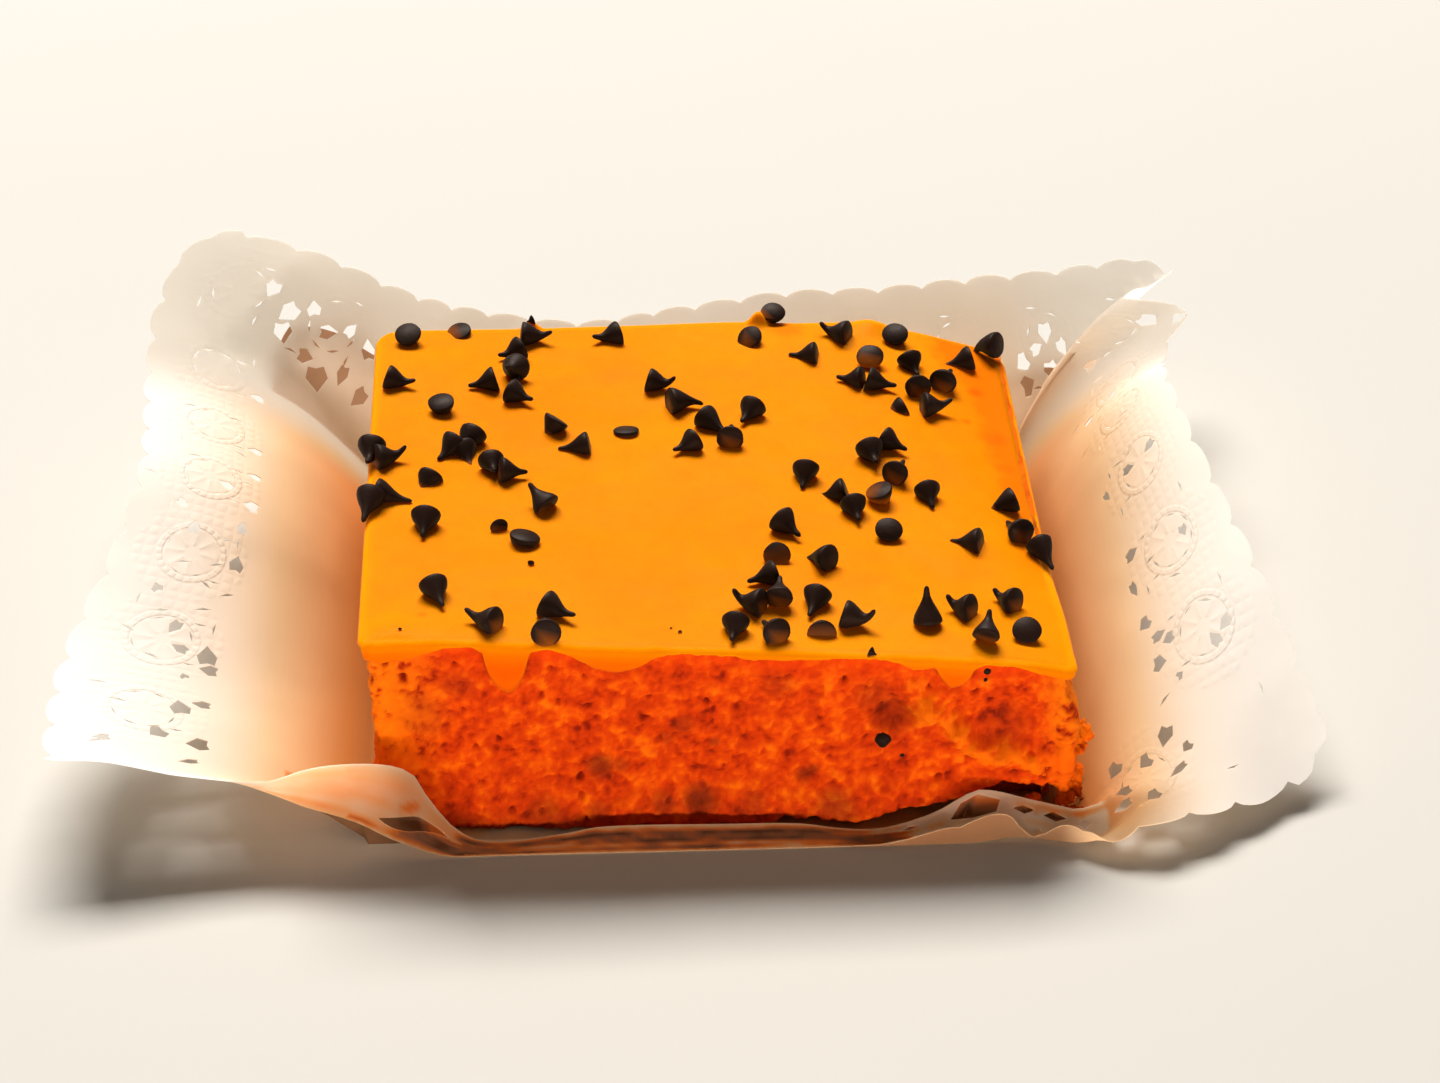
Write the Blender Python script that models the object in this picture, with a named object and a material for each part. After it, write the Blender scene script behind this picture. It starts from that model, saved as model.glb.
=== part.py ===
"""Square slice of orange cake under icing with chocolate drops, standing in its folded paper lace.

Metres, +Z up. The origin is on the floor under the middle of the cake, +X runs along the
longer side of the cake and the cut face of the sponge looks toward -Y.
Sizes below are in millimetres and become metres where a mesh is made.
"""
import math

import bmesh
import bpy
from mathutils import Vector, noise
from mathutils.geometry import delaunay_2d_cdt

MM = 0.001
GAP = 0.3

# Cake
CAKE_LEFT = -56.8
CAKE_RIGHT = 55.8
CAKE_BACK = 50.0
FRONT_LEFT_Y = -49.6
FRONT_RIGHT_Y = -52.8
TOP_LEFT_Z = 36.0
TOP_RIGHT_Z = 29.6
CORNER = 4.0

# Icing
ICING = 2.0
SKIRT = 1.1
SKIRT_DROP = 2.6
EDGE_ROUND = 1.5

# Chocolate drops
DROP_RADIUS = 2.35
DROP_HEIGHT = 4.8
DROP_SIDES = 6

# Paper, flat
PAPER_LEFT = -111.0
PAPER_RIGHT = 105.0
PAPER_BACK = 85.0
PAPER_FRONT = -71.0
PAPER_THICK = 0.5
FLOOR_SIDE = 57.5
FLOOR_BACK = 52.5
FLOOR_FRONT = -54.2
RIDGE_ROW = -58.2
FOOT_ROW = -62.5
LACE = 22.0
ROSETTE_IN = 13.5
SCALLOP = 9.4
SCALLOP_DEEP = 1.5
PAPER_CORNER = 9.0


def mix(a, b, f):
    return tuple(p + (q - p) * f for p, q in zip(a, b))


def smooth(f):
    f = min(1.0, max(0.0, f))
    return f * f * (3 - 2 * f)


def along(t, stations):
    """Smooth curve through hand-set stations (t, value, ...)."""
    if t <= stations[0][0]:
        return stations[0][1:]
    if t >= stations[-1][0]:
        return stations[-1][1:]
    k = max(i for i in range(len(stations) - 1) if stations[i][0] <= t)
    a, b = stations[k], stations[k + 1]
    before = stations[max(k - 1, 0)]
    after = stations[min(k + 2, len(stations) - 1)]
    w = b[0] - a[0]
    f = (t - a[0]) / w
    out = []
    for p, q, r, s in zip(before[1:], a[1:], b[1:], after[1:]):
        go = (r - p) / (b[0] - before[0]) * w
        come = (s - q) / (after[0] - a[0]) * w
        out.append(q + f * go + f * f * (3 * (r - q) - 2 * go - come)
                   + f ** 3 * (2 * (q - r) + go + come))
    return tuple(out)


def material(name, colour, roughness):
    made = bpy.data.materials.new(name)
    made.use_nodes = True
    shader = made.node_tree.nodes["Principled BSDF"]
    shader.inputs["Base Color"].default_value = (*colour, 1.0)
    shader.inputs["Roughness"].default_value = roughness
    shader.inputs["Metallic"].default_value = 0.0
    return made


def collection(name):
    made = bpy.data.collections.new(name)
    bpy.context.scene.collection.children.link(made)
    return made


def solid(name, points, faces, holder):
    """Closed triangle mesh from points in millimetres, its faces turned outward."""
    mesh = bpy.data.meshes.new(name)
    mesh.from_pydata([Vector(p) * MM for p in points], [], faces)
    bm = bmesh.new()
    bm.from_mesh(mesh)
    bmesh.ops.triangulate(bm, faces=bm.faces)
    bmesh.ops.recalc_face_normals(bm, faces=bm.faces)
    bm.to_mesh(mesh)
    bm.free()
    made = bpy.data.objects.new(name, mesh)
    holder.objects.link(made)
    return made


def fuse(body, pieces):
    """One union of a body with everything in a collection; the pieces are then removed."""
    step = body.modifiers.new("fuse", "BOOLEAN")
    step.operation = "UNION"
    step.solver = "MANIFOLD"
    step.operand_type = "COLLECTION"
    step.collection = pieces
    bpy.context.view_layer.update()
    shaped = bpy.data.meshes.new_from_object(body.evaluated_get(bpy.context.evaluated_depsgraph_get()))
    body.modifiers.clear()
    body.data = shaped
    for piece in list(pieces.objects):
        bpy.data.objects.remove(piece)
    bpy.data.collections.remove(pieces)


# The cake's outline and top

def front_y(x):
    return FRONT_LEFT_Y + (FRONT_RIGHT_Y - FRONT_LEFT_Y) * (x - CAKE_LEFT) / (CAKE_RIGHT - CAKE_LEFT)


def top_z(x):
    return TOP_LEFT_Z + (TOP_RIGHT_Z - TOP_LEFT_Z) * (x - CAKE_LEFT) / (CAKE_RIGHT - CAKE_LEFT)


def outline(front_steps, side_steps):
    """Places round the cake from the front left corner: (x, y, outward x, outward y)."""
    corners = ((CAKE_LEFT, FRONT_LEFT_Y), (CAKE_RIGHT, FRONT_RIGHT_Y),
               (CAKE_RIGHT, CAKE_BACK), (CAKE_LEFT, CAKE_BACK))
    places = []
    for k in range(4):
        a, b = Vector(corners[k]), Vector(corners[(k + 1) % 4])
        ahead = (b - a).normalized()
        out = Vector((ahead.y, -ahead.x))
        turned = Vector((-out.y, out.x))
        steps = front_steps if k == 0 else side_steps
        for i in range(steps + 1):
            p = a + ahead * (CORNER + ((b - a).length - 2 * CORNER) * i / steps)
            places.append((p.x, p.y, out.x, out.y))
        bend = (out * 0.7071 + turned * 0.7071)
        centre = b - ahead * CORNER - out * CORNER
        places.append((centre.x + bend.x * CORNER, centre.y + bend.y * CORNER, bend.x, bend.y))
    return places


# Sponge: one block with a torn crumb, broken away low down at its right front

CHIP = ((5, 0.0), (14, 2.4), (30, 5.6), (44, 8.4), (56, 9.6))
DENTS = ((24, 17, 6.0, 1.8), (32, 14, 5.0, 2.4), (38, 20, 4.0, 1.6), (-20, 12, 5.0, 1.0), (2, 20, 4.5, 0.9),
         (46, 16, 5.0, 1.5), (-40, 18, 4.0, 0.8), (12, 8, 5.0, 1.2))
RINGS = 12


def crumb_inset(x, y, z, front):
    rough = 0.5 + noise.noise(Vector((x * 0.28, y * 0.28, z * 0.33)))
    fine = 0.5 + noise.noise(Vector((x * 0.8 + 9, y * 0.8, z * 0.8)))
    inset = 0.2 + 0.9 * max(0.0, rough) + 0.5 * max(0.0, fine)
    if front:
        for dx, dz, radius, deep in DENTS:
            inset += deep * smooth(1 - math.hypot(x - dx, z - dz) / radius)
    return inset


def build_sponge(holder):
    ring = outline(38, 12)
    under = 0.5 + GAP
    points = []
    for k in range(RINGS + 1):
        for x, y, nx, ny in ring:
            front = ny < -0.6
            top = top_z(x) - ICING - GAP
            chip = along(x, CHIP)[0] if front else (along(x, CHIP)[0] if y < -40 and nx > 0.5 else 0.0)
            level = max(chip, 2.4)
            if k < 3:
                z = under + (level - under) * (0.0, 0.45, 0.85)[k]
            else:
                z = level + 0.5 + (top - level - 0.5) * ((k - 3) / (RINGS - 3)) ** 0.95
            inset = crumb_inset(x, y, z, front)
            inset += 1.2 * smooth(1 - (z - under) / 2.2)
            inset += 6.0 * smooth(chip / 2.5) * smooth((level + 0.3 - z) / 1.2)
            if k == RINGS:
                inset = 0.5
                z = top
            points.append((x - nx * inset, y - ny * inset, z))
    count = len(ring)
    faces = [tuple(reversed(range(count)))]
    for k in range(RINGS):
        for i in range(count):
            j = (i + 1) % count
            faces.append((k * count + i, k * count + j, (k + 1) * count + j, (k + 1) * count + i))
    faces.append(tuple(range(RINGS * count, (RINGS + 1) * count)))
    body = solid("sponge", points, faces, holder)
    lumps = collection("sponge lumps")
    for x, y, z, size in ((56.0, -45.6, 10.5, 3.6), (54.6, -46.8, 5.6, 3.6), (33.0, -50.6, 15.5, 2.6)):
        crumb_lump(x, y, z, size, lumps)
    fuse(body, lumps)
    return body


def crumb_lump(x, y, z, size, holder):
    bm = bmesh.new()
    bmesh.ops.create_icosphere(bm, subdivisions=2, radius=1.0)
    points = []
    for v in bm.verts:
        reach = size * (1 + 0.35 * noise.noise(v.co * 2 + Vector((x, y, z))))
        points.append((x + v.co.x * reach, y + v.co.y * reach * 0.9, z + v.co.z * reach * 0.8))
    faces = [tuple(v.index for v in f.verts) for f in bm.faces]
    bm.free()
    solid("crumb lump", points, faces, holder)


# Icing: a poured cap with a soft edge and a few drips down the cut face

DRIPS = ((-34.0, 3.4, 6.6), (-17.0, 5.0, 3.6), (35.5, 4.6, 6.0), (-56.0, 3.0, 3.0), (50.0, 5.0, 1.2))


def icing_wave(x, y):
    return (0.5 * noise.noise(Vector((x * 0.045, y * 0.045, 3.1)))
            + 0.2 * noise.noise(Vector((x * 0.13, y * 0.13, 7.7))))


def skirt(x, y, ny):
    low = SKIRT_DROP + 0.7 * noise.noise(Vector((x * 0.16, y * 0.16, 1.0)))
    if ny < -0.6:
        for at, wide, more in DRIPS:
            low += more * smooth(1 - abs(x - at) / wide)
    return low


def icing_top(x, y):
    """Height of the icing's top at a place on it."""
    inside = min(x - CAKE_LEFT, CAKE_RIGHT - x, y - front_y(x), CAKE_BACK - y)
    return top_z(x) + icing_wave(x, y) * smooth(inside / 12) - 0.25 * smooth(1 - inside / 5)


def build_icing(holder):
    across, deep = 28, 9
    ring = outline(across, deep)
    count = len(ring)
    points, rows = [], []

    def row(offset, height):
        rows.append(len(points))
        for x, y, nx, ny in ring:
            points.append((x + nx * offset, y + ny * offset, height(x, y, ny)))

    row(0.6 - CORNER, lambda x, y, ny: icing_top(x, y))
    row(SKIRT - EDGE_ROUND, lambda x, y, ny: top_z(x) - 0.15)
    row(SKIRT - 0.4, lambda x, y, ny: top_z(x) - 0.7)
    row(SKIRT, lambda x, y, ny: top_z(x) - EDGE_ROUND)
    row(SKIRT * 0.9, lambda x, y, ny: top_z(x) - 0.55 * skirt(x, y, ny) - 0.8)
    row(SKIRT * 0.4, lambda x, y, ny: top_z(x) - skirt(x, y, ny))
    row(GAP * 0.3, lambda x, y, ny: top_z(x) - skirt(x, y, ny) + 0.3)
    row(-0.1, lambda x, y, ny: top_z(x) - ICING)
    faces = []
    for a, b in zip(rows, rows[1:]):
        for i in range(count):
            j = (i + 1) % count
            faces.append((a + i, a + j, b + j, b + i))
    faces.append(tuple(range(rows[-1], rows[-1] + count)))
    faces += icing_middle(points, rows[0], ring, across, deep)
    body = solid("icing", points, faces, holder)
    drops = collection("icing drops")
    for place in drop_places():
        build_drop(*place, drops)
    fuse(body, drops)
    return body


def icing_middle(points, first, ring, across, deep):
    """Flat triangles over the middle of the top, joined to its first ring."""
    count = len(ring)
    flat = [points[first + i][:2] for i in range(count)]
    for i in range(1, 13):
        for j in range(1, 10):
            x = CAKE_LEFT + 7 + (CAKE_RIGHT - CAKE_LEFT - 14) * i / 13
            flat.append((x, front_y(x) + 7 + (CAKE_BACK - front_y(x) - 14) * j / 10))
    edges = [(i, (i + 1) % count) for i in range(count)]
    found = delaunay_2d_cdt([Vector(p) for p in flat], edges, [], 1, 1e-6)
    index = {}
    for i, v in enumerate(found[0]):
        near = min(range(count), key=lambda k: (flat[k][0] - v.x) ** 2 + (flat[k][1] - v.y) ** 2)
        if math.hypot(flat[near][0] - v.x, flat[near][1] - v.y) < 1e-3:
            index[i] = first + near
        else:
            index[i] = len(points)
            points.append((v.x, v.y, icing_top(v.x, v.y)))
    return [tuple(index[i] for i in face) for face in found[2]]


# Drops: kisses of chocolate, each (x, y, way its tip points, kind) and, for a run of them,
# how many more follow, on which heading and how far apart
# kinds: 0 upright, 1 lying with a curled tip, 2 half sunk, 3 small

DROPS = (
    (-52, 46, 200, 0), (-43, 46.5, 0, 2), (-29, 47, 0, 1, 3, -103, 5.8), (-16, 48, 20, 2),
    (-53, 32, 0, 1), (-38, 32, 180, 0), (-45, 22, 200, 0), (-7, 33, 0, 1, 3, -57, 6.6), (8, 24, 80, 0),
    (-26, 16, 100, 0, 1, -59, 5.8), (-14, 12, 0, 2), (-3, 13, 170, 3),
    (-55, 9, 120, 1, 1, -50, 4.6), (-45, 8, 200, 0, 2, -20, 4.7), (-40, 12.2, 40, 3), (-32.6, 2, 0, 1),
    (-47, -2, 0, 2), (-52.6, -6, 20, 0, 1, -125, 4.6), (-29, -7, 150, 1), (-47, -15, 0, 0),
    (-35, -16, 0, 3), (-31, -22, 190, 2), (-46, -35, 100, 0), (-38, -44, 170, 1),
    (-27, -39, 0, 1, 1, -97, 6.4), (14, 49, 30, 0), (9.6, 46, 180, 3), (25, 49.5, 190, 1, 1, -140, 7.0),
    (36, 49, 0, 0), (27, 37, 180, 1, 1, -20, 5.0), (31, 43, 0, 2), (38, 42, 120, 0, 1, -60, 6.5),
    (39, 32.5, 180, 0, 1, -70, 5.4), (46, 38, 60, 0), (47, 45, 200, 3), (52.4, 47.5, 160, 0),
    (34, 26, 180, 2), (28, 11, 200, 0, 1, 40, 6.4), (17, 3, 60, 0), (32, 4, 80, 0, 1, -50, 7.4),
    (21, -1, 200, 1, 1, -66, 7.2), (29, -4, 0, 2), (30, -14, 0, 0), (12, -12, 150, 0),
    (50, -4, 180, 1, 2, -70, 9.2), (42, -17, 20, 3), (10, -23, 170, 3, 1, -108, 5.8), (18, -23, 180, 1),
    (11.5, -33, 80, 0), (5.8, -36, 200, 0), (2.4, -43, 250, 0), (9, -45, 60, 0), (16, -36, 60, 0),
    (16.4, -45, 0, 2), (22.4, -40, 10, 1), (34, -37, 110, 0), (40, -37, 180, 1), (43.4, -43, 60, 0),
    (47, -36, 150, 1), (49.4, -43, 0, 0), (24, -49.5, 0, 3),
)


def drop_places():
    places = []
    for x, y, tip, kind, *run in DROPS:
        places.append((x, y, tip, kind))
        if run:
            more, heading, pitch = run
            for k in range(1, more + 1):
                turn = math.radians(heading)
                places.append((x + math.cos(turn) * pitch * k, y + math.sin(turn) * pitch * k,
                               (tip + 97 * k) % 360, 0 if k % 2 else 1))
    return places


def build_drop(x, y, tip, kind, holder):
    wide = DROP_RADIUS * (1.0, 0.95, 1.05, 0.62)[kind]
    tall = DROP_HEIGHT * (1.0, 0.72, 0.42, 0.5)[kind]
    lean = (0.35, 1.15, 0.3, 0.5)[kind] * wide
    sunk = (0.5, 0.5, 0.9, 0.45)[kind]
    turn = math.radians(tip)
    x = min(max(x, CAKE_LEFT + 2.2), CAKE_RIGHT - 2.2)
    floor = icing_top(x, y) - sunk
    levels = ((0.0, 0.0, 0.0), (0.0, 0.9, 0.0), (0.34, 1.0, 0.1), (0.7, 0.5, 0.5), (1.0, 0.0, 1.0))
    bm = bmesh.new()
    bmesh.ops.create_uvsphere(bm, u_segments=DROP_SIDES, v_segments=4, radius=1.0)
    points = []
    for v in bm.verts:
        height, radius, shift = levels[round((v.co.z + 1) * 2 + (0.17 if v.co.z < 0 else -0.17))]
        round_by = turn + math.atan2(v.co.y, v.co.x)
        points.append((x + math.cos(turn) * lean * shift + math.cos(round_by) * wide * radius,
                       y + math.sin(turn) * lean * shift + math.sin(round_by) * wide * radius,
                       floor + (tall + sunk) * height))
    faces = [tuple(v.index for v in face.verts) for face in bm.faces]
    bm.free()
    solid("drop", points, faces, holder)


# Paper: where the rim stands when the flat sheet is folded up, (flat place, x, y, z)

RIM_LEFT = ((-62.5, -108, -58, 20), (-54.2, -108.5, -52, 19.5), (-37, -109, -35, 18.5), (-22, -107, -21, 20),
            (-5, -101.5, -6, 26), (13, -97.5, 10, 32), (31, -98, 27, 32), (48, -99, 44, 32),
            (66, -98, 61, 37), (85, -90, 75, 46))
RIM_BACK = ((-111, -90, 75, 46), (-89, -69, 73, 40), (-68, -53, 73, 31.5), (-46, -38, 69, 29),
            (-25, -20, 68, 27), (-3, -3.5, 70, 28.3), (19, 16, 71, 30.5), (40, 35, 70.5, 31.4),
            (62, 54, 72, 32.4), (76, 68, 79, 29.5), (94, 84, 86, 27.5), (105, 95, 89, 25))
RIM_RIGHT = ((-71, 102.3, -47, 5.6), (-54.2, 97.5, -34, 14.5), (-37, 92.5, -19, 24), (-20, 88, -3.5, 30),
             (-3, 84, 13, 35), (15, 82.5, 29, 36), (31, 84.5, 43, 30.5), (40, 87, 50, 31),
             (48, 90.5, 57, 33), (57, 80, 60.5, 33.5), (70, 88, 74, 29), (85, 95, 89, 25))

# The fold along the front: its ridge, its foot on the floor and the edge that turns up again
RIDGE = ((-111, -107.5, -57, 20.5), (-100, -98, -56.5, 19.5), (-88, -86.5, -56.5, 16.4),
         (-74, -73, -56.5, 14.8), (-68, -67, -56.5, 16.8), (-61, -61, -56.5, 17.7),
         (-53.5, -53.5, -56.5, 17.3), (-49.5, -49.6, -56.2, 15), (-47, -47.6, -56, 10.5),
         (-43, -43.6, -56, 4.2), (-38, -38.5, -56.3, 1.4), (-27, -26.6, -55.8, 2), (-19, -19.4, -55.5, 3.1),
         (1, 1, -55.5, 2.9), (12, 12, -55.5, 2.6), (20, 20, -55.7, 1.4), (26, 26, -55.7, 1.4),
         (34, 34, -55.5, 3.8), (40.5, 40.5, -55.5, 7.8), (44, 44, -55.5, 7.6), (49, 49, -55.6, 5.4),
         (57.5, 57.5, -56.2, 3.2))
FOOT = ((-111, -103, -47, 16), (-88, -86, -49, 12.6), (-74, -73, -55, 11.5), (-67, -67, -58.6, 11.2),
        (-59, -59, -58.8, 8), (-53.5, -53.5, -58.8, 4.4), (-45.5, -45.5, -58.6, 0.6), (-38, -38, -58.6, 0.3),
        (40, 40, -58.8, 0.3), (47, 47, -58.6, 1.0), (57.5, 57.5, -60, 0.5))
EDGE = ((20, 20, -59, 0.8), (26, 26, -60, 1.5), (38, 38, -60.6, 5.6), (45.5, 45.5, -60.8, 7.4),
        (49.4, 49.4, -60.2, 2.2), (54, 54.5, -60.8, 4.9), (57.5, 58, -61.4, 4.4), (62, 62, -64, 3.7),
        (68, 67.4, -64, 6.5), (76, 74.5, -62, 6.6), (90, 86.5, -56, 4.1), (97, 94, -51, 3.8),
        (105, 102.3, -47, 5.6))


def wall(base, rim, share, corner):
    """A point up a wall that stands steep at its foot and flares at its rim."""
    reach, rise = 0.38 + 0.07 * corner, 0.85 - 0.15 * corner
    d = tuple(r - b for r, b in zip(rim, base))
    knee = (d[0] * reach, d[1] * reach, d[2] * rise)
    return tuple(b + 2 * share * (1 - share) * k + share * share * e for b, k, e in zip(base, knee, d))


def folded(u, v):
    """Where a place on the flat sheet lies when the sheet is folded round the cake."""
    z = PAPER_THICK / 2
    left = u < 0
    edge = PAPER_LEFT if left else PAPER_RIGHT
    side = -FLOOR_SIDE if left else FLOOR_SIDE
    rim_side = RIM_LEFT if left else RIM_RIGHT
    over = (u - side) / (edge - side)
    if v < FLOOR_FRONT:
        return front_fold(u, v, over, side, rim_side)
    up = (v - FLOOR_BACK) / (PAPER_BACK - FLOOR_BACK)
    if over <= 0 and up <= 0:
        return (u, v, z)
    if up <= 0:
        return wall((side, v, z), along(v, rim_side), over, 0)
    if over <= 0:
        return wall((u, FLOOR_BACK, z), along(u, RIM_BACK), up, 1)
    tall, wide = PAPER_BACK - FLOOR_BACK, abs(edge - side)
    if over >= up:
        at = FLOOR_BACK + tall * up / over
        return wall((side, FLOOR_BACK, z), along(at, rim_side), over, (at - FLOOR_BACK) / (tall + wide))
    at = side + (edge - side) * over / up
    turned = 1 - abs(at - side) / (tall + wide)
    return wall((side, FLOOR_BACK, z), along(at, RIM_BACK), up, turned)


def front_fold(u, v, over, side, rim_side):
    z = PAPER_THICK / 2
    start = (u, FLOOR_FRONT, z)
    if over > 0:
        start = wall((side, FLOOR_FRONT, z), along(FLOOR_FRONT, rim_side), over, 0)
    rows = (FLOOR_FRONT, RIDGE_ROW, FOOT_ROW, PAPER_FRONT)
    if u <= FLOOR_SIDE:
        stops = (start, along(u, RIDGE), along(u, FOOT), along(u, EDGE))
    else:
        edge = along(u, EDGE)
        fade = smooth(1 - (u - FLOOR_SIDE) / 14)
        stops = [start]
        for level, line in ((RIDGE_ROW, RIDGE), (FOOT_ROW, FOOT)):
            share = (FLOOR_FRONT - level) / (FLOOR_FRONT - PAPER_FRONT)
            plain = mix(start, edge, share)
            lip = mix((FLOOR_SIDE, FLOOR_FRONT, z), along(FLOOR_SIDE, EDGE), share)
            extra = tuple(p - q for p, q in zip(along(FLOOR_SIDE, line), lip))
            stops.append(tuple(p + e * fade for p, e in zip(plain, extra)))
        stops.append(edge)
    k = 0 if v > RIDGE_ROW else 1 if v > FOOT_ROW else 2
    p = mix(stops[k], stops[k + 1], (rows[k] - v) / (rows[k] - rows[k + 1]))
    return (p[0], p[1], max(p[2], z))


def rim_path():
    """Scalloped edge of the flat sheet, from the left of the front fold round to its right."""
    path = []

    def side(a, b, inward, first, last):
        length = math.dist(a, b)
        lobes = round(length / SCALLOP)
        for i in range(first, lobes * 4 - last):
            f = i / (lobes * 4)
            dip = SCALLOP_DEEP * (1 - math.sin(math.pi * (i % 4) / 4) ** 0.7) if i % 4 else SCALLOP_DEEP
            p = mix(a, b, f)
            path.append((p[0] + inward[0] * dip, p[1] + inward[1] * dip))

    def turn(cx, cy, start):
        for i in range(1, 4):
            a = math.radians(start - 22.5 * i)
            r = PAPER_CORNER - (SCALLOP_DEEP * 0.8 if i == 2 else 0)
            path.append((cx + r * math.cos(a), cy + r * math.sin(a)))

    c = PAPER_CORNER
    path.append((PAPER_LEFT, FOOT_ROW))
    side((PAPER_LEFT, FOOT_ROW + 2), (PAPER_LEFT, PAPER_BACK - c), (1, 0), 0, 0)
    turn(PAPER_LEFT + c, PAPER_BACK - c, 180)
    side((PAPER_LEFT + c, PAPER_BACK), (PAPER_RIGHT - c, PAPER_BACK), (0, -1), 0, 0)
    turn(PAPER_RIGHT - c, PAPER_BACK - c, 90)
    side((PAPER_RIGHT, PAPER_BACK - c), (PAPER_RIGHT, PAPER_FRONT + c), (-1, 0), 0, 0)
    turn(PAPER_RIGHT - c, PAPER_FRONT + c, 0)
    side((PAPER_RIGHT - c, PAPER_FRONT), (28, PAPER_FRONT), (0, 1), 0, 0)
    path.append((25, PAPER_FRONT + SCALLOP_DEEP))
    path.append((19, FOOT_ROW))
    for i in range(1, 15):
        path.append((19 + (PAPER_LEFT - 19) * i / 15, FOOT_ROW))
    return path


def border_places(inward, pitch, shift):
    """Centres along the lace border at one depth: (x, y, way out)."""
    places = []
    left, right = PAPER_LEFT + inward, PAPER_RIGHT - inward
    back, front = PAPER_BACK - inward, PAPER_FRONT + inward
    across = round((right - left) / pitch)
    down = round((back - front) / pitch)
    for i in range(across + 1):
        u = left + (right - left) * (i + shift) / across
        if u <= right:
            places.append((u, back, 90))
        if FLOOR_SIDE + 3 < u < right:
            places.append((u, front, -90))
    for i in range(1 if shift == 0 else 0, down):
        v = back - (back - front) * (i + shift) / down
        if v > FLOOR_FRONT + 4:
            places.append((left, v, 180))
        places.append((right, v, 0))
    return places


def lace_holes():
    holes = []
    for x, y, way in border_places(ROSETTE_IN, 2 * SCALLOP, 0):
        for i in range(6):
            a = math.radians(way + 60 * i + 30)
            tip = (x + 1.4 * math.cos(a), y + 1.4 * math.sin(a))
            wide = [(x + 4.5 * math.cos(a + s), y + 4.5 * math.sin(a + s)) for s in (-0.3, 0.3)]
            holes.append([tip, *wide])
    for x, y, way in border_places(LACE, SCALLOP, 0.5):
        a = math.radians(way)
        ahead, beside = (math.cos(a), math.sin(a)), (-math.sin(a), math.cos(a))
        holes.append([(x + ahead[0] * p + beside[0] * q, y + ahead[1] * p + beside[1] * q)
                      for p, q in ((-1.4, 0.0), (1.2, -1.7), (1.2, 1.7))])
    return holes


def inside(x, y, loop):
    hit = False
    for (ax, ay), (bx, by) in zip(loop, loop[1:] + loop[:1]):
        if (ay > y) != (by > y) and x < ax + (bx - ax) * (y - ay) / (by - ay):
            hit = not hit
    return hit


def flat_sheet():
    """Triangles of the flat sheet between its edge, its holes and its fold lines."""
    rim = rim_path()
    holes = lace_holes()
    points = list(rim)
    edges = [(i, (i + 1) % len(rim)) for i in range(len(rim))]
    for hole in holes:
        first = len(points)
        points += hole
        edges += [(first + i, first + (i + 1) % len(hole)) for i in range(len(hole))]

    def line(stops):
        first = len(points)
        points.extend(stops)
        edges.extend((first + i, first + i + 1) for i in range(len(stops) - 1))

    floor = [(-FLOOR_SIDE, FLOOR_FRONT), (FLOOR_SIDE, FLOOR_FRONT), (FLOOR_SIDE, FLOOR_BACK),
             (-FLOOR_SIDE, FLOOR_BACK), (-FLOOR_SIDE, FLOOR_FRONT)]
    for a, b in zip(floor, floor[1:]):
        steps = 26 if a[1] == b[1] == FLOOR_FRONT else 12
        line([mix(a, b, i / steps) for i in range(steps)] + [b])
    for level in (RIDGE_ROW, FOOT_ROW + 0.02):
        stop = PAPER_RIGHT - 2 if level < RIDGE_ROW else PAPER_RIGHT - 3
        line([(PAPER_LEFT + 2 + (stop - PAPER_LEFT - 2) * i / 44, level) for i in range(45)])
    line([mix((FLOOR_SIDE, FLOOR_BACK), (PAPER_RIGHT - 2, 56.9), i / 6) for i in range(7)])
    for u in range(-105, 104, 8):
        for v in range(-50, 84, 8):
            if -FLOOR_SIDE - 2 < u < FLOOR_SIDE + 2 and FLOOR_FRONT - 2 < v < FLOOR_BACK + 2:
                continue
            if any(math.hypot(u - h[0][0], v - h[0][1]) < 7 and inside(u, v, h) for h in holes):
                continue
            points.append((u, v))
    found = delaunay_2d_cdt([Vector(p) for p in points], edges, [], 0, 1e-5)
    flat, faces = found[0], []
    boxes = [(sum(p[0] for p in h) / len(h), sum(p[1] for p in h) / len(h), h) for h in holes]
    for face in found[2]:
        x = sum(flat[i].x for i in face) / 3
        y = sum(flat[i].y for i in face) / 3
        if not inside(x, y, rim):
            continue
        if any(abs(x - hx) < 5 and abs(y - hy) < 5 and inside(x, y, h) for hx, hy, h in boxes):
            continue
        faces.append(tuple(face))
    used = sorted({i for face in faces for i in face})
    back = {i: k for k, i in enumerate(used)}
    return [(flat[i].x, flat[i].y) for i in used], [tuple(back[i] for i in f) for f in faces]


def build_paper(holder):
    flat, faces = flat_sheet()
    middle = [Vector(folded(u, v)) for u, v in flat]
    normals = [Vector((0, 0, 0)) for _ in middle]
    for a, b, c in faces:
        turn = (middle[b] - middle[a]).cross(middle[c] - middle[a])
        for i, j, k in ((a, b, c), (b, c, a), (c, a, b)):
            normals[i] += turn.normalized() * (middle[j] - middle[i]).angle(middle[k] - middle[i], 0.0)
    half = PAPER_THICK / 2
    count = len(middle)
    points = []
    for side in (1, -1):
        for p, n in zip(middle, normals):
            q = p + n.normalized() * half * side
            on_floor = p.z < half + 1e-6
            points.append((q.x, q.y, half + half * side if on_floor else q.z))
    doubled = [(a, b, c) for a, b, c in faces] + [(c + count, b + count, a + count) for a, b, c in faces]
    owners = {}
    for a, b, c in faces:
        for i, j in ((a, b), (b, c), (c, a)):
            owners[(i, j)] = True
    for i, j in owners:
        if (j, i) not in owners:
            doubled.append((i, i + count, j + count))
            doubled.append((i, j + count, j))
    return solid("paper_lace", points, doubled, holder)


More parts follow.
